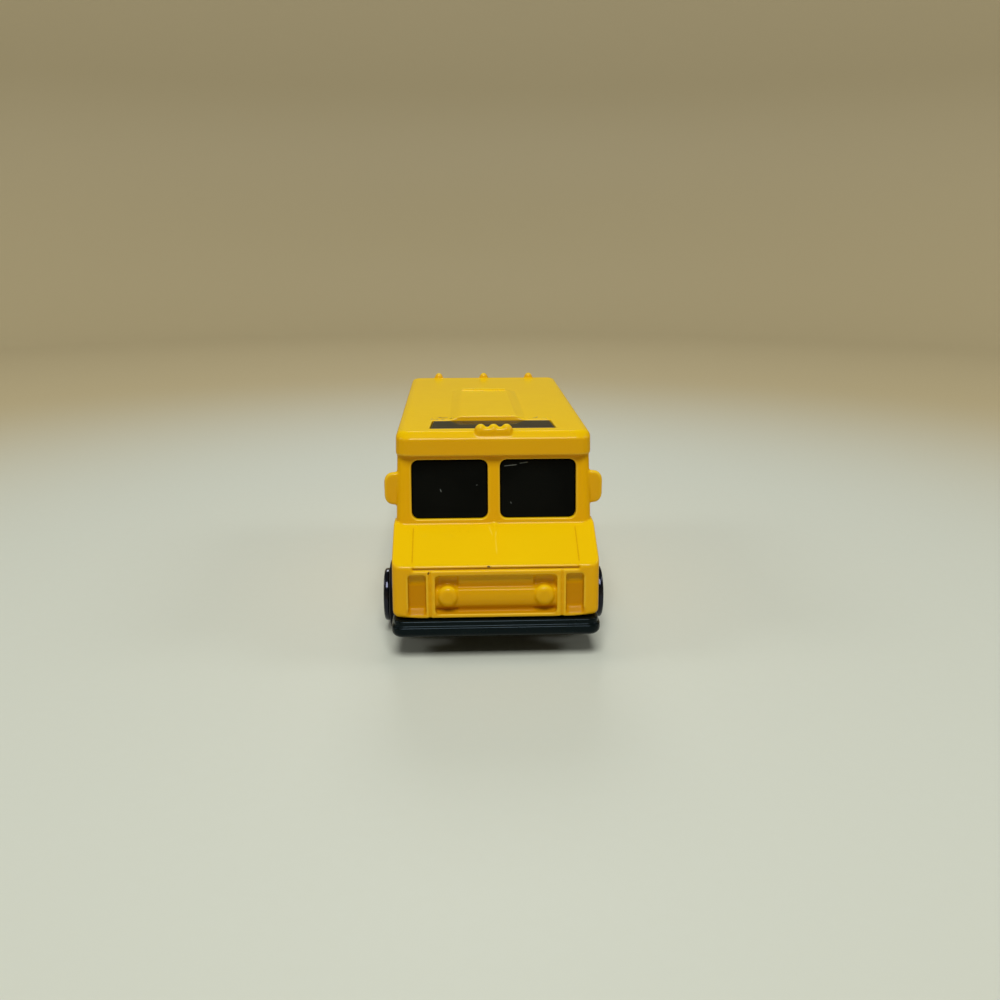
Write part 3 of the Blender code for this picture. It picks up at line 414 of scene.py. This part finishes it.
@dataclass(frozen=True)
class Enamel(Finish):
    """Thick gloss enamel that pools in hollows and thins along edges, with painted shade in hollows and
    recesses, painted highlights on edges and creases, and sides painted darker than tops.
    """

    # The lighter top colour and the darker flank colour are painted light and shade by which way a
    # surface faces.
    top: Colour = srgb(235, 192, 6)
    shaded_flank: Colour = srgb(225, 165, 3)
    # Pooled enamel and painted shade in hollows and recesses.
    pooled_and_shade: Colour = srgb(178, 110, 2)
    # Thin enamel and painted highlight along edges.
    thin_and_highlight: Colour = srgb(241, 208, 66)
    grime: Colour = srgb(120, 92, 18)
    chipped: Colour = srgb(104, 72, 24)
    roughness: float = 0.16
    knocks: tuple[tuple[Place, float], ...] = (
        ((-1.0, -30.85, 13.2), 0.27), ((-0.6, -30.9, 13.28), 0.16), ((-9.2, -30.98, 12.4), 0.25),
    )
    # Pale lines that paint the highlights along the bonnet's creases.
    crease_highlights: tuple[tuple[Point, Point], ...] = (
        ((-0.87, 17.2), (-0.26, 16.1)), ((0.26, 16.75), (0.0, 15.8)), ((0.09, 15.95), (0.17, 14.3)),
    )
    seams: tuple[tuple[Point, Point], ...] = (
        ((-11.5, 13.45), (-11.5, 17.1)), ((11.5, 13.45), (11.5, 17.1)),
    )
    flecks: RoofFlecks = RoofFlecks()
    recesses: NoseRecesses = NoseRecesses()
    line_width: float = 0.13 * MM
    crease_highlight_share: float = 0.5
    seam_share: float = 0.4
    sheen: float = 0.02
    gloss: float = 0.32
    gloss_spread: float = 0.14
    gloss_index: float = 1.45
    patch: float = 9 * MM
    speck: float = 0.35 * MM
    chip_cluster: float = 3.1 * MM
    dirt: float = 1.6 * MM
    edge_rise: Span = (-0.02, -0.09)
    pool_and_shade_depth: Span = (0.015, 0.1)
    dirt_depth: Span = (0.05, 0.16)
    edge_share: float = 0.55
    pool_and_shade_share: float = 0.75
    dirt_share: float = 0.4
    haze: float = 2.3 * MM
    peel: float = 1.1 * MM
    pimple: float = 0.4 * MM
    peel_depth: float = 0.02 * MM

    def material(self) -> bpy.types.Material:
        """Builds the enamel. Its hollows come from the mesh's own attribute."""
        made, graph = self.dress(
            "yellow_enamel",
            {
                "Specular IOR Level": self.sheen, "Coat Roughness": self.gloss_spread,
                "Coat IOR": self.gloss_index,
            },
        )
        hollow = graph.node("ShaderNodeAttribute", {"attribute_name": "hollow"}, output="Fac")
        slope = graph.node("ShaderNodeTexCoord", output="Normal")
        upward = graph.node("ShaderNodeSeparateXYZ", sockets={0: slope}, output="Z")
        patches = graph.noise(self.patch, 3.0)
        specks = graph.noise(self.speck)
        edge = hollow.rise(*self.edge_rise)
        pool_and_shade = hollow.rise(*self.pool_and_shade_depth)
        # Painted light on the recess tops, painted shade on their floors and ledges.
        recess_light, recess_shade = self.recesses.wires(graph)
        # Upward-facing surfaces take the top colour and side-facing ones the darker flank: painted
        # light and shade by facing, plus random tone and painted light on the recess tops.
        lit_share_and_tone = upward.rise(0.3, 0.95) * 0.85 + 0.3 * patches - 0.1 + 0.4 * recess_light
        colour = graph.mix(lit_share_and_tone, self.shaded_flank, self.top)
        # Darker in hollows, from pooled enamel and painted shade, and painted shade on the recess
        # floors and ledges.
        pool_and_recess_shade = (pool_and_shade * self.pool_and_shade_share * (1 - recess_light)).larger(recess_shade)
        colour = graph.mix(pool_and_recess_shade, colour, self.pooled_and_shade)
        for line, shade, share in self._lines():
            colour = graph.mix(share * graph.stroke(*line, self.line_width), colour, shade)
        # Edges paler: thin enamel and painted highlight.
        colour = graph.mix(edge * self.edge_share, colour, self.thin_and_highlight)
        dirt = hollow.rise(*self.dirt_depth) * graph.noise(self.dirt, 4.0).rise(0.5, 0.75)
        colour = graph.mix(dirt * self.dirt_share, colour, self.grime)
        clusters = graph.noise(self.chip_cluster, 1.0).rise(0.6, 0.7)
        chips = edge * specks.rise(0.72, 0.76) * clusters
        chips = chips.larger(self.flecks.wire(graph))
        for centre, radius in self.knocks:
            chips = chips.larger(graph.spot(centre, radius * MM))
        colour = graph.mix(chips, colour, self.chipped)
        rough = self.roughness + 0.08 * graph.noise(self.haze, 3.0) + 0.35 * chips + 0.08 * dirt
        facing = 1 - graph.node("ShaderNodeLayerWeight", sockets={"Blend": 0.5}, output="Facing")
        coat = self.gloss * facing * facing * (1 - chips) * (1 - recess_shade)
        relief = graph.noise(self.peel) + 0.35 * graph.noise(self.pimple, 1.0)
        normal = graph.bump(relief, self.peel_depth, 0.6)
        return self.connect(
            made, {"Base Color": colour, "Roughness": rough, "Coat Weight": coat, "Normal": normal}
        )

    def _lines(self) -> list[tuple]:
        """The bonnet's creases as painted highlights and its seams as dark lines, each with its colour
        and how much of it shows.
        """
        painted_highlights = [(line, self.thin_and_highlight, self.crease_highlight_share) for line in self.crease_highlights]
        return painted_highlights + [(line, self.pooled_and_shade, self.seam_share) for line in self.seams]


@dataclass(frozen=True)
class Moulding(Finish):
    """Black moulded plastic with scuffs, fine mould texture and a little dust."""

    title: str
    colour: Colour
    scuffed: Colour
    roughness: float
    scuff: float = 0.4
    gloss: float = 0.1
    tint: Colour = (1.0, 1.0, 1.0, 1.0)
    cloud: float = 4.5 * MM
    streak: float = 0.9 * MM
    dust: float = 0.22 * MM
    texture: float = 0.28 * MM
    texture_depth: float = 0.012 * MM

    def material(self) -> bpy.types.Material:
        """Builds the plastic."""
        made, graph = self.dress(
            self.title, {"IOR": 1.5, "Specular IOR Level": self.gloss, "Specular Tint": self.tint}
        )
        cloud = graph.noise(self.cloud, 4.0).rise(0.4, 0.75)
        streaks = graph.noise(self.streak, 3.0, (0.25, 1.0, 1.0)).rise(0.58, 0.8)
        dust = graph.noise(self.dust, 1.0).rise(0.72, 0.8)
        worn = (cloud * streaks + 0.5 * dust) * self.scuff
        colour = graph.mix(worn, self.colour, self.scuffed)
        rough = self.roughness + 0.12 * cloud + 0.2 * worn
        grain = graph.noise(self.texture, 3.0) + 0.5 * streaks
        normal = graph.bump(grain, self.texture_depth, 0.5)
        return self.connect(made, {"Base Color": colour, "Roughness": rough, "Normal": normal})


BLUISH: Colour = (0.62, 0.84, 1.0, 1.0)
VIOLET: Colour = (0.7, 0.72, 1.0, 1.0)
BASE_BLACK = Moulding(
    "gloss_black", srgb(6, 12, 12), srgb(40, 47, 50), roughness=0.16, gloss=0.14, tint=BLUISH,
)
FLOOR_BLACK = Moulding("floor_black", srgb(18, 19, 20), srgb(60, 61, 60), roughness=0.42)
TYRE_BLACK = Moulding(
    "tyre_black", srgb(15, 13, 16), srgb(52, 50, 52), roughness=0.34, scuff=0.5, tint=VIOLET,
)
HUB_BLACK = Moulding(
    "hub_black", srgb(8, 9, 14), srgb(46, 48, 58), roughness=0.1, gloss=0.4, tint=VIOLET,
)


@dataclass(frozen=True)
class SmokedGlazing(Finish):
    """Near-black clear plastic with hairline scratches and specks."""

    colour: Colour = srgb(4, 6, 6)
    depth: Colour = srgb(9, 11, 10)
    scratched: Colour = srgb(120, 126, 124)
    scratches: tuple[tuple[Point, Point], ...] = (
        ((1.4, 25.3), (3.4, 25.5)), ((3.6, 25.66), (4.95, 25.84)), ((-7.7, 22.25), (-7.45, 21.65)),
        ((2.35, 20.35), (2.5, 19.9)), ((-2.6, 22.62), (-2.25, 22.72)),
    )
    scratch_width: float = 0.09 * MM
    scratch_share: float = 0.7
    roughness: float = 0.1
    sheen: float = 0.06
    cloud: float = 7 * MM
    hair: float = 0.16 * MM
    hair_patch: float = 5 * MM
    speck: float = 0.3 * MM
    speck_patch: float = 4 * MM
    wave: float = 2.4 * MM
    wave_depth: float = 0.01 * MM

    def material(self) -> bpy.types.Material:
        """Builds the glazing."""
        made, graph = self.dress("smoked_glazing", {"IOR": 1.45, "Specular IOR Level": self.sheen})
        clouds = graph.noise(self.cloud).rise(0.35, 0.7)
        hairs = graph.noise(self.hair, 1.0, (0.06, 1.0, 0.6)).rise(0.8, 0.85)
        sparse = graph.noise(self.hair_patch, 1.0).rise(0.6, 0.68)
        dusty = graph.noise(self.speck_patch, 1.0)
        specks = graph.noise(self.speck, 0.0).rise(0.8, 0.84) * dusty.rise(0.55, 0.65)
        front = graph.axes()[1].rise(*CAB_REAR)
        marks = (hairs * sparse).larger(specks) * (1 - front)
        for first, second in self.scratches:
            scratch = graph.stroke(first, second, self.scratch_width)
            marks = marks.larger(self.scratch_share * scratch)
        colour = graph.mix(clouds, self.colour, self.depth)
        colour = graph.mix(marks, colour, self.scratched)
        rough = self.roughness + 0.05 * clouds + 0.4 * marks
        normal = graph.bump(graph.noise(self.wave), self.wave_depth, 0.4)
        return self.connect(made, {"Base Color": colour, "Roughness": rough, "Normal": normal})


@dataclass(frozen=True)
class BrightSteel(Finish):
    """Drawn or headed steel with turning marks and small dull patches."""

    colour: Colour = srgb(188, 190, 192)
    dull: Colour = srgb(128, 126, 120)
    roughness: float = 0.24
    patch: float = 0.8 * MM
    line: float = 0.12 * MM
    line_depth: float = 0.006 * MM

    def material(self) -> bpy.types.Material:
        """Builds the steel."""
        made, graph = self.dress("bright_steel", {"Metallic": 1.0})
        patches = graph.noise(self.patch, 4.0).rise(0.42, 0.7)
        lines = graph.noise(self.line, 2.0, (6.0, 1.0, 1.0))
        colour = graph.mix(patches * 0.7, self.colour, self.dull)
        rough = self.roughness + 0.14 * patches + 0.1 * lines
        normal = graph.bump(lines, self.line_depth, 0.5)
        return self.connect(made, {"Base Color": colour, "Roughness": rough, "Normal": normal})


@dataclass(frozen=True)
class Backdrop(Finish):
    """Matt pale board that turns warm and darker away from the truck."""

    near: Colour = srgb(206, 208, 193)
    far: Colour = srgb(190, 174, 134)
    unlit: Colour = srgb(20, 20, 18)
    clear_radius: float = 0.08
    warm_radius: float = 0.26
    fibre: float = 1.5 * MM
    roughness: float = 0.5
    unlit_share: float = 0.75

    def material(self) -> bpy.types.Material:
        """Builds the board."""
        made, graph = self.dress("pale_board", {"Specular IOR Level": 0.25})
        x, y, z = graph.axes()
        reach = graph.node("ShaderNodeMath", {"operation": "SQRT"}, {0: x * x + y * y + z * z})
        warmth = reach.rise(self.clear_radius, self.warm_radius)
        fibre = graph.noise(self.fibre, 4.0)
        colour = graph.mix(warmth, self.near, self.far)
        colour = graph.mix(0.04 * fibre, colour, self.far)
        rays = [graph.node("ShaderNodeLightPath", output=f"Is {kind} Ray")
                for kind in ("Camera", "Glossy", "Transmission")]
        unseen = 1 - rays[0].larger(rays[1]).larger(rays[2])
        distant = reach.rise(2 * self.clear_radius, 4 * self.clear_radius)
        colour = graph.mix(self.unlit_share * unseen * distant, colour, self.unlit)
        rough = self.roughness + 0.1 * fibre
        return self.connect(made, {"Base Color": colour, "Roughness": rough})


@dataclass(frozen=True)
class Softening:
    """How a sharp solid gets the rounded edges of a casting or moulding; lengths in mm."""

    voxel: float
    rounds: int
    triangles: int
    blur: int = 14

    def apply(self, obj: bpy.types.Object) -> bpy.types.Object:
        """Rounds an object's edges and notes how hollow each of its points is.

        Args:
            obj: A closed solid in metres.

        Returns:
            The same object.
        """
        obj.data.transform(Matrix.Scale(1 / MM, 4))
        modify(obj, "REMESH", mode="VOXEL", voxel_size=self.voxel, adaptivity=0.0)
        modify(obj, "SMOOTH", factor=0.5, iterations=self.rounds)
        dense, hollow = self._hollows(obj.data)
        obj.data.calc_loop_triangles()
        share = self.triangles / len(obj.data.loop_triangles)
        if share < 1:
            modify(obj, "DECIMATE", ratio=share)
        self._note(obj.data, dense, hollow)
        obj.data.transform(Matrix.Scale(MM, 4))
        return smooth(obj)

    def _hollows(self, mesh: bpy.types.Mesh) -> tuple[np.ndarray, np.ndarray]:
        """Measures how far each point lies under the blurred surface.

        Args:
            mesh: An evenly meshed surface.

        Returns:
            The points, and a depth for each that is negative on an edge.
        """
        count = len(mesh.vertices)
        at = np.empty(count * 3)
        mesh.vertices.foreach_get("co", at)
        at = at.reshape(-1, 3)
        normal = np.empty(count * 3)
        mesh.vertex_normals.foreach_get("vector", normal)
        ends = np.empty(len(mesh.edges) * 2, np.int32)
        mesh.edges.foreach_get("vertices", ends)
        one, two = ends[0::2], ends[1::2]
        links = np.bincount(ends, minlength=count)[:, None]
        blurred = at.copy()
        for _ in range(self.blur):
            near = [
                np.bincount(one, blurred[two, k], count) + np.bincount(two, blurred[one, k], count)
                for k in range(3)
            ]
            blurred = 0.5 * blurred + 0.5 * np.stack(near, 1) / links
        return at, ((blurred - at) * normal.reshape(-1, 3)).sum(1)

    def _note(self, mesh: bpy.types.Mesh, dense: np.ndarray, hollow: np.ndarray) -> None:
        """Writes the nearest measured hollow to each point of a mesh.

        Args:
            mesh: The finished mesh.
            dense: The measured points.
            hollow: Their depths.
        """
        tree = kdtree.KDTree(len(dense))
        for i, point in enumerate(dense):
            tree.insert(point, i)
        tree.balance()
        values = [hollow[tree.find(v.co)[1]] for v in mesh.vertices]
        mesh.attributes.new("hollow", "FLOAT", "POINT").data.foreach_set("value", values)


def modify(obj: bpy.types.Object, kind: str, **settings: Any) -> None:
    """Puts one modifier on an object and applies it.

    Args:
        obj: The object.
        kind: The modifier's type.
        **settings: Its settings.
    """
    modifier = obj.modifiers.new(kind.lower(), kind)
    for key, value in settings.items():
        setattr(modifier, key, value)
    depsgraph = bpy.context.evaluated_depsgraph_get()
    made = bpy.data.meshes.new_from_object(obj.evaluated_get(depsgraph))
    old = obj.data
    obj.modifiers.clear()
    obj.data = made
    bpy.data.meshes.remove(old)
    made.name = obj.name


def smooth(obj: bpy.types.Object) -> bpy.types.Object:
    """Shades an object smoothly, with its larger faces leading the normals."""
    obj.data.shade_smooth()
    modifier = obj.modifiers.new("lead", "WEIGHTED_NORMAL")
    modifier.mode = "FACE_AREA"
    modifier.weight = 50
    return obj


def place_mesh(name: str, bm: bmesh.types.BMesh) -> bpy.types.Object:
    """Makes an object from a bmesh, at the origin.

    Args:
        name: The piece's name.
        bm: The shape, which is freed.

    Returns:
        The new object, in the scene.
    """
    mesh = bpy.data.meshes.new(name)
    bm.to_mesh(mesh)
    bm.free()
    obj = bpy.data.objects.new(name, mesh)
    bpy.context.scene.collection.objects.link(obj)
    return obj


def copy_node(name: str, node: str) -> bpy.types.Object:
    """Copies a CAD node's solid, with its loose triangles merged.

    Args:
        name: The new piece's name.
        node: The CAD node.

    Returns:
        The copy.
    """
    bm = bmesh.new()
    bm.from_mesh(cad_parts[node].data)
    bmesh.ops.remove_doubles(bm, verts=bm.verts[:], dist=MERGE)
    return place_mesh(name, bm)


def turned(name: str, profile: Iterable[Point], centre: Vector, axis: Vector, rounding: float,
           steps: int) -> bpy.types.Object:
    """Spins a closed profile about an axis.

    Args:
        name: The piece's name.
        profile: Corners as (distance along the axis, radius).
        centre: A point on the axis, from which the distances count.
        axis: The axis.
        rounding: How much each corner of the profile is rounded.
        steps: How many steps the spin has.

    Returns:
        The turned piece.
    """
    out = axis.orthogonal().normalized()
    bm = bmesh.new()
    corners = [bm.verts.new(centre + axis * along + out * radius) for along, radius in profile]
    for first, second in zip(corners, corners[1:] + corners[:1]):
        bm.edges.new((first, second))
    bmesh.ops.bevel(
        bm, geom=corners, offset=rounding, offset_type="OFFSET", affect="VERTICES",
        segments=3, profile=0.5, material=-1, clamp_overlap=True,
    )
    bmesh.ops.spin(
        bm, geom=bm.verts[:] + bm.edges[:], cent=centre, axis=axis, angle=2 * math.pi,
        steps=steps, use_merge=True,
    )
    bmesh.ops.remove_doubles(bm, verts=bm.verts[:], dist=MERGE)
    bmesh.ops.recalc_face_normals(bm, faces=bm.faces[:])
    return place_mesh(name, bm)


def paint(obj: bpy.types.Object, material: bpy.types.Material) -> bpy.types.Object:
    """Gives an object one material."""
    obj.data.materials.clear()
    obj.data.materials.append(material)
    return obj


def seat(obj: bpy.types.Object, body: str, slot: str, *nodes: str) -> bpy.types.Object:
    """Lets a finished piece ride on a body and stand for its CAD nodes.

    Args:
        obj: The piece.
        body: The body that it moves with.
        slot: The record's finish for the piece; not used.
        *nodes: The nodes that it replaces.

    Returns:
        The same piece.
    """
    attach(obj, body)
    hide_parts(*nodes)
    obj.data.calc_loop_triangles()
    log.info("%s: %d triangles on %s", obj.name, len(obj.data.loop_triangles), body)
    return obj


@dataclass
class CastBody:
    """The one-piece cast and enamelled body."""

    enamel: Enamel
    softening: Softening = Softening(voxel=0.13, rounds=9, triangles=180000)

    def build(self) -> bpy.types.Object:
        """Rounds the cast body's edges and enamels it."""
        shell = self.softening.apply(copy_node("enamelled_body", "body_shell"))
        paint(shell, self.enamel.material())
        return seat(shell, "truck", "yellow_paint", "body_shell")


@dataclass
class Glazing:
    """The smoked moulding behind every window opening."""

    finish: SmokedGlazing
    softening: Softening = Softening(voxel=0.12, rounds=2, triangles=50000)

    def build(self) -> bpy.types.Object:
        """Softens the moulding's edges and darkens it."""
        panes = self.softening.apply(copy_node("smoked_panes", "window_glazing"))
        paint(panes, self.finish.material())
        return seat(panes, "truck", "smoke_glazing", "window_glazing")


@dataclass
class Base:
    """The black base with its bumper, and the floor insert above it."""

    gloss: Moulding
    plain: Moulding
    softening: Softening = Softening(voxel=0.11, rounds=3, triangles=120000)

    def build(self) -> bpy.types.Object:
        """Softens the base's edges, and gives the insert its plastic."""
        base = self.softening.apply(copy_node("base_moulding", "chassis_base"))
        paint(base, self.gloss.material())
        paint(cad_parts["interior_floor"], self.plain.material())
        return seat(base, "truck", "black_plastic", "chassis_base")


@dataclass
class RoadWheel:
    """A hard plastic tyre on a gloss hub, running on its axle; lengths in mm."""

    end: End
    side: Side
    tread: bpy.types.Material
    gloss: bpy.types.Material
    radius: float = 5.15
    inner_face: float = 12.2
    outer_face: float = 15.3
    bore: float = 3.3
    hub_face: float = 16.2
    rim: float = 3.9
    axle_bore: float = 0.7
    fit: float = 0.12
    holes: int = 6
    hole_circle: float = 2.3
    hole_radius: float = 0.42
    drill_depth: float = 1.8
    ring_places: tuple[float, float] = (1.05, 1.95)
    ring_half: float = 0.14
    ring_floor_half: float = 0.08
    ring_depth: float = 0.1
    tyre_rounding: float = 0.07
    hub_rounding: float = 0.06
    boss_radius: float = 1.4
    dish: float = 1.3
    steps: int = 120
    softening: Softening = Softening(voxel=0.07, rounds=3, triangles=30000)

    def _name(self, piece: str) -> str:
        """The CAD node's name for one of this wheel's pieces."""
        return f"{piece}_{self.end.value}_{self.side.name.lower()}"

    def _centre(self) -> Vector:
        """The middle of the axle that carries this wheel."""
        low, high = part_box(f"axle_{self.end.value}")
        return (low + high) / 2

    def _turn(self, piece: str, profile: list[Point], rounding: float) -> bpy.types.Object:
        """Turns one of the wheel's profiles on its own side of the truck.

        Args:
            piece: The piece's name.
            profile: Corners in mm.
            rounding: The corners' rounding in mm.

        Returns:
            The turned piece.
        """
        corners = [(along * MM, radius * MM) for along, radius in profile]
        outward = Vector((self.side.value, 0, 0))
        return turned(piece, corners, self._centre(), outward, rounding * MM, self.steps)

    def tyre(self) -> bpy.types.Object:
        """Turns the tyre, with two shallow rings on its tread and one on its wall."""
        inner, outer, top = self.inner_face, self.outer_face, self.radius
        edge, foot, low = self.ring_half, self.ring_floor_half, top - self.ring_depth
        rings = []
        for place in self.ring_places:
            middle = inner + place
            rings += [
                (middle - edge, top), (middle - foot, low), (middle + foot, low), (middle + edge, top),
            ]
        profile = [
            (inner + 0.1, self.bore), (inner, self.bore + 0.9), (inner + 0.15, top - 0.35),
            (inner + 0.55, top), *rings, (outer - 0.32, top), (outer - 0.1, top - 0.1),
            (outer, top - 0.4), (outer - 0.06, top - 0.95), (outer, top - 1.15), (outer, self.bore),
        ]
        return self._turn(self._name("road_tyre"), profile, self.tyre_rounding)

    def hub(self) -> bpy.types.Object:
        """Turns the hub and drills its ring of holes."""
        barrel = self.bore - self.fit
        step = self.outer_face + self.fit
        inner, outer, rim = self.inner_face + 0.3, self.hub_face, self.rim
        face, boss = outer - self.dish, outer - self.dish / 2
        profile = [
            (inner, self.axle_bore), (inner, barrel), (step, barrel), (step, rim),
            (outer - 0.3, rim), (outer - 0.08, rim - 0.13), (outer, rim - 0.4),
            (outer - 0.1, rim - 0.62), (face, rim - 1.0), (face + 0.1, 1.75),
            (boss, self.boss_radius), (boss, self.axle_bore),
        ]
        hub = self._turn(self._name("gloss_hub"), profile, self.hub_rounding)
        return self._drill(hub, face)

    def _drill(self, hub: bpy.types.Object, face: float) -> bpy.types.Object:
        """Cuts the ring of holes into a hub.

        Args:
            hub: The turned hub.
            face: Where its disc lies along the axle, in mm.

        Returns:
            The drilled hub.
        """
        bm = bmesh.new()
        for i in range(self.holes):
            angle = 2 * math.pi * (i + 0.5) / self.holes
            along = (face + 0.2) * self.side.value
            out, up = self.hole_circle * math.cos(angle), self.hole_circle * math.sin(angle)
            middle = self._centre() + Vector((along, out, up)) * MM
            lie = Matrix.Translation(middle) @ Matrix.Rotation(math.pi / 2, 4, "Y")
            radius = self.hole_radius * MM
            bmesh.ops.create_cone(
                bm, cap_ends=True, segments=24, radius1=radius, radius2=radius,
                depth=self.drill_depth * MM, matrix=lie,
            )
        drills = place_mesh("drills", bm)
        modify(hub, "BOOLEAN", operation="DIFFERENCE", object=drills, solver="EXACT")
        bpy.data.objects.remove(drills)
        return self.softening.apply(hub)

    def build(self) -> None:
        """Builds both pieces and seats them on the wheel's body."""
        body = self._name("wheel")
        tyre = smooth(paint(self.tyre(), self.tread))
        seat(tyre, body, "tyre_plastic", self._name("tyre"))
        hub = paint(self.hub(), self.gloss)
        seat(hub, body, "wheel_gloss", self._name("hub"))


@dataclass
class Axle:
    """A steel axle with a domed head outside each hub; lengths in mm."""

    end: End
    steel: bpy.types.Material
    radius: float = 0.6
    head_start: float = 15.75
    head: float = 0.35
    head_radius: float = 1.05
    head_edge: float = 0.12
    tip: float = 0.12
    pole: float = 0.02
    rounding: float = 0.04
    steps: int = 48

    def build(self) -> bpy.types.Object:
        """Turns the axle about its own middle."""
        node = f"axle_{self.end.value}"
        low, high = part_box(node)
        start, top = self.head_start, self.head_start + self.head
        half = [
            (start, self.radius), (start, self.head_radius), (start + self.head_edge, self.head_radius),
            (top - 0.03, self.head_radius * 0.6), (top, self.tip),
        ]
        corners = [(-along, radius) for along, radius in reversed(half)] + half
        poles = [(top - self.pole, self.pole), (-top + self.pole, self.pole)]
        profile = [(along * MM, radius * MM) for along, radius in corners + poles]
        centre, across = (low + high) / 2, Vector((1, 0, 0))
        axle = turned(f"steel_{node}", profile, centre, across, self.rounding * MM, self.steps)
        paint(smooth(axle), self.steel)
        return seat(axle, f"{self.end.value}_axle", "bright_steel", node)


@dataclass
class Rivets:
    """The two rivets that hold the base to the body."""

    steel: bpy.types.Material

    def build(self) -> None:
        """Gives both rivets their steel."""
        for end in End:
            paint(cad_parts[f"rivet_{end.value}"], self.steel)


@dataclass(frozen=True)
class SoftLamp:
    """A square soft lamp that faces the truck; lengths in metres."""

    name: str
    at: Place
    watts: float
    size: float
    colour: Place
    aim: Place = (0.0, 0.0, 0.015)

    def hang(self) -> None:
        """Hangs the lamp in its place."""
        data = bpy.data.lights.new(self.name, "AREA")
        data.energy = self.watts
        data.size = self.size
        data.color = self.colour
        obj = bpy.data.objects.new(self.name, data)
        obj.location = self.at
        way = Vector(self.aim) - Vector(self.at)
        obj.rotation_euler = way.to_track_quat("-Z", "Y").to_euler()
        bpy.context.scene.collection.objects.link(obj)


@dataclass
class Studio:
    """A pale round cove, soft lamps and the camera; lengths in metres."""

    board: Backdrop
    lamps: tuple[SoftLamp, ...] = (
        SoftLamp("key", (-0.02, -0.45, 0.78), 6.3, 0.38, (0.98, 1.0, 1.0)),
        SoftLamp("tail", (0.0, 0.64, 0.46), 1.2, 0.25, (1.0, 1.0, 1.0)),
        SoftLamp("window_left", (0.62, 0.02, 0.44), 0.95, 0.25, (0.94, 0.97, 1.0)),
        SoftLamp("window_right", (-0.62, 0.02, 0.44), 0.95, 0.25, (0.94, 0.97, 1.0)),
    )
    room_light: Colour = (0.96, 1.0, 0.96, 1.0)
    room_strength: float = 0.1
    floor_radius: float = 0.42
    bend: float = 0.16
    wall_height: float = 0.34
    lens: float = 34.02
    sensor: float = 36.0
    eye: Place = (-0.00482, -0.1529, 0.0567)
    yaw: float = math.radians(2.505)
    pitch: float = math.radians(15.55)

    def cove(self) -> None:
        """Spins the floor and its rising edge about the truck."""
        bm = bmesh.new()
        outer = self.floor_radius + self.bend
        line = [(0.0, 0.0), (outer, 0.0), (outer, self.wall_height)]
        corners = [bm.verts.new((radius, 0, height)) for radius, height in line]
        for first, second in zip(corners, corners[1:]):
            bm.edges.new((first, second))
        bmesh.ops.bevel(
            bm, geom=[corners[1]], offset=self.bend, offset_type="OFFSET", affect="VERTICES",
            segments=24, profile=0.5, material=-1,
        )
        bmesh.ops.spin(
            bm, geom=bm.verts[:] + bm.edges[:], cent=(0, 0, 0), axis=(0, 0, 1),
            angle=2 * math.pi, steps=96, use_merge=True,
        )
        bmesh.ops.remove_doubles(bm, verts=bm.verts[:], dist=0.01 * MM)
        bmesh.ops.recalc_face_normals(bm, faces=bm.faces[:])
        low = min(bm.faces, key=lambda face: face.calc_center_median().length)
        if low.normal.z < 0:
            bmesh.ops.reverse_faces(bm, faces=bm.faces[:])
        cove = paint(place_mesh("cove", bm), self.board.material())
        cove.data.shade_smooth()

    def world(self) -> None:
        """Sets a dim, nearly neutral room all round."""
        world = bpy.data.worlds.new("room")
        world.use_nodes = True
        graph = Graph(world.node_tree)
        glow = graph.node(
            "ShaderNodeBackground", sockets={"Color": self.room_light, "Strength": self.room_strength}
        )
        graph.node("ShaderNodeOutputWorld", sockets={"Surface": glow})
        bpy.context.scene.world = world

    def camera(self) -> None:
        """Stands the camera where the photograph was taken."""
        data = bpy.data.cameras.new("camera")
        data.lens = self.lens
        data.sensor_width = self.sensor
        data.clip_start = 0.001
        obj = bpy.data.objects.new("camera", data)
        level = math.cos(self.pitch)
        ahead = Vector((math.sin(self.yaw) * level, math.cos(self.yaw) * level, -math.sin(self.pitch)))
        obj.location = self.eye
        obj.rotation_euler = ahead.to_track_quat("-Z", "Y").to_euler()
        bpy.context.scene.collection.objects.link(obj)
        bpy.context.scene.camera = obj

    def build(self) -> None:
        """Builds the whole studio."""
        self.cove()
        self.world()
        for lamp in self.lamps:
            lamp.hang()
        self.camera()
        bpy.context.scene.view_settings.view_transform = "Standard"


def main() -> None:
    """Builds every piece of the truck, then the studio round it."""
    logging.basicConfig(level=logging.INFO, format="%(message)s")
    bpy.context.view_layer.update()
    tread, hub_gloss, steel = TYRE_BLACK.material(), HUB_BLACK.material(), BrightSteel().material()
    CastBody(Enamel()).build()
    Glazing(SmokedGlazing()).build()
    Base(BASE_BLACK, FLOOR_BLACK).build()
    for end in End:
        Axle(end, steel).build()
        for side in Side:
            RoadWheel(end, side, tread, hub_gloss).build()
    Rivets(steel).build()
    Studio(Backdrop()).build()


if __name__ == "__main__":
    main()
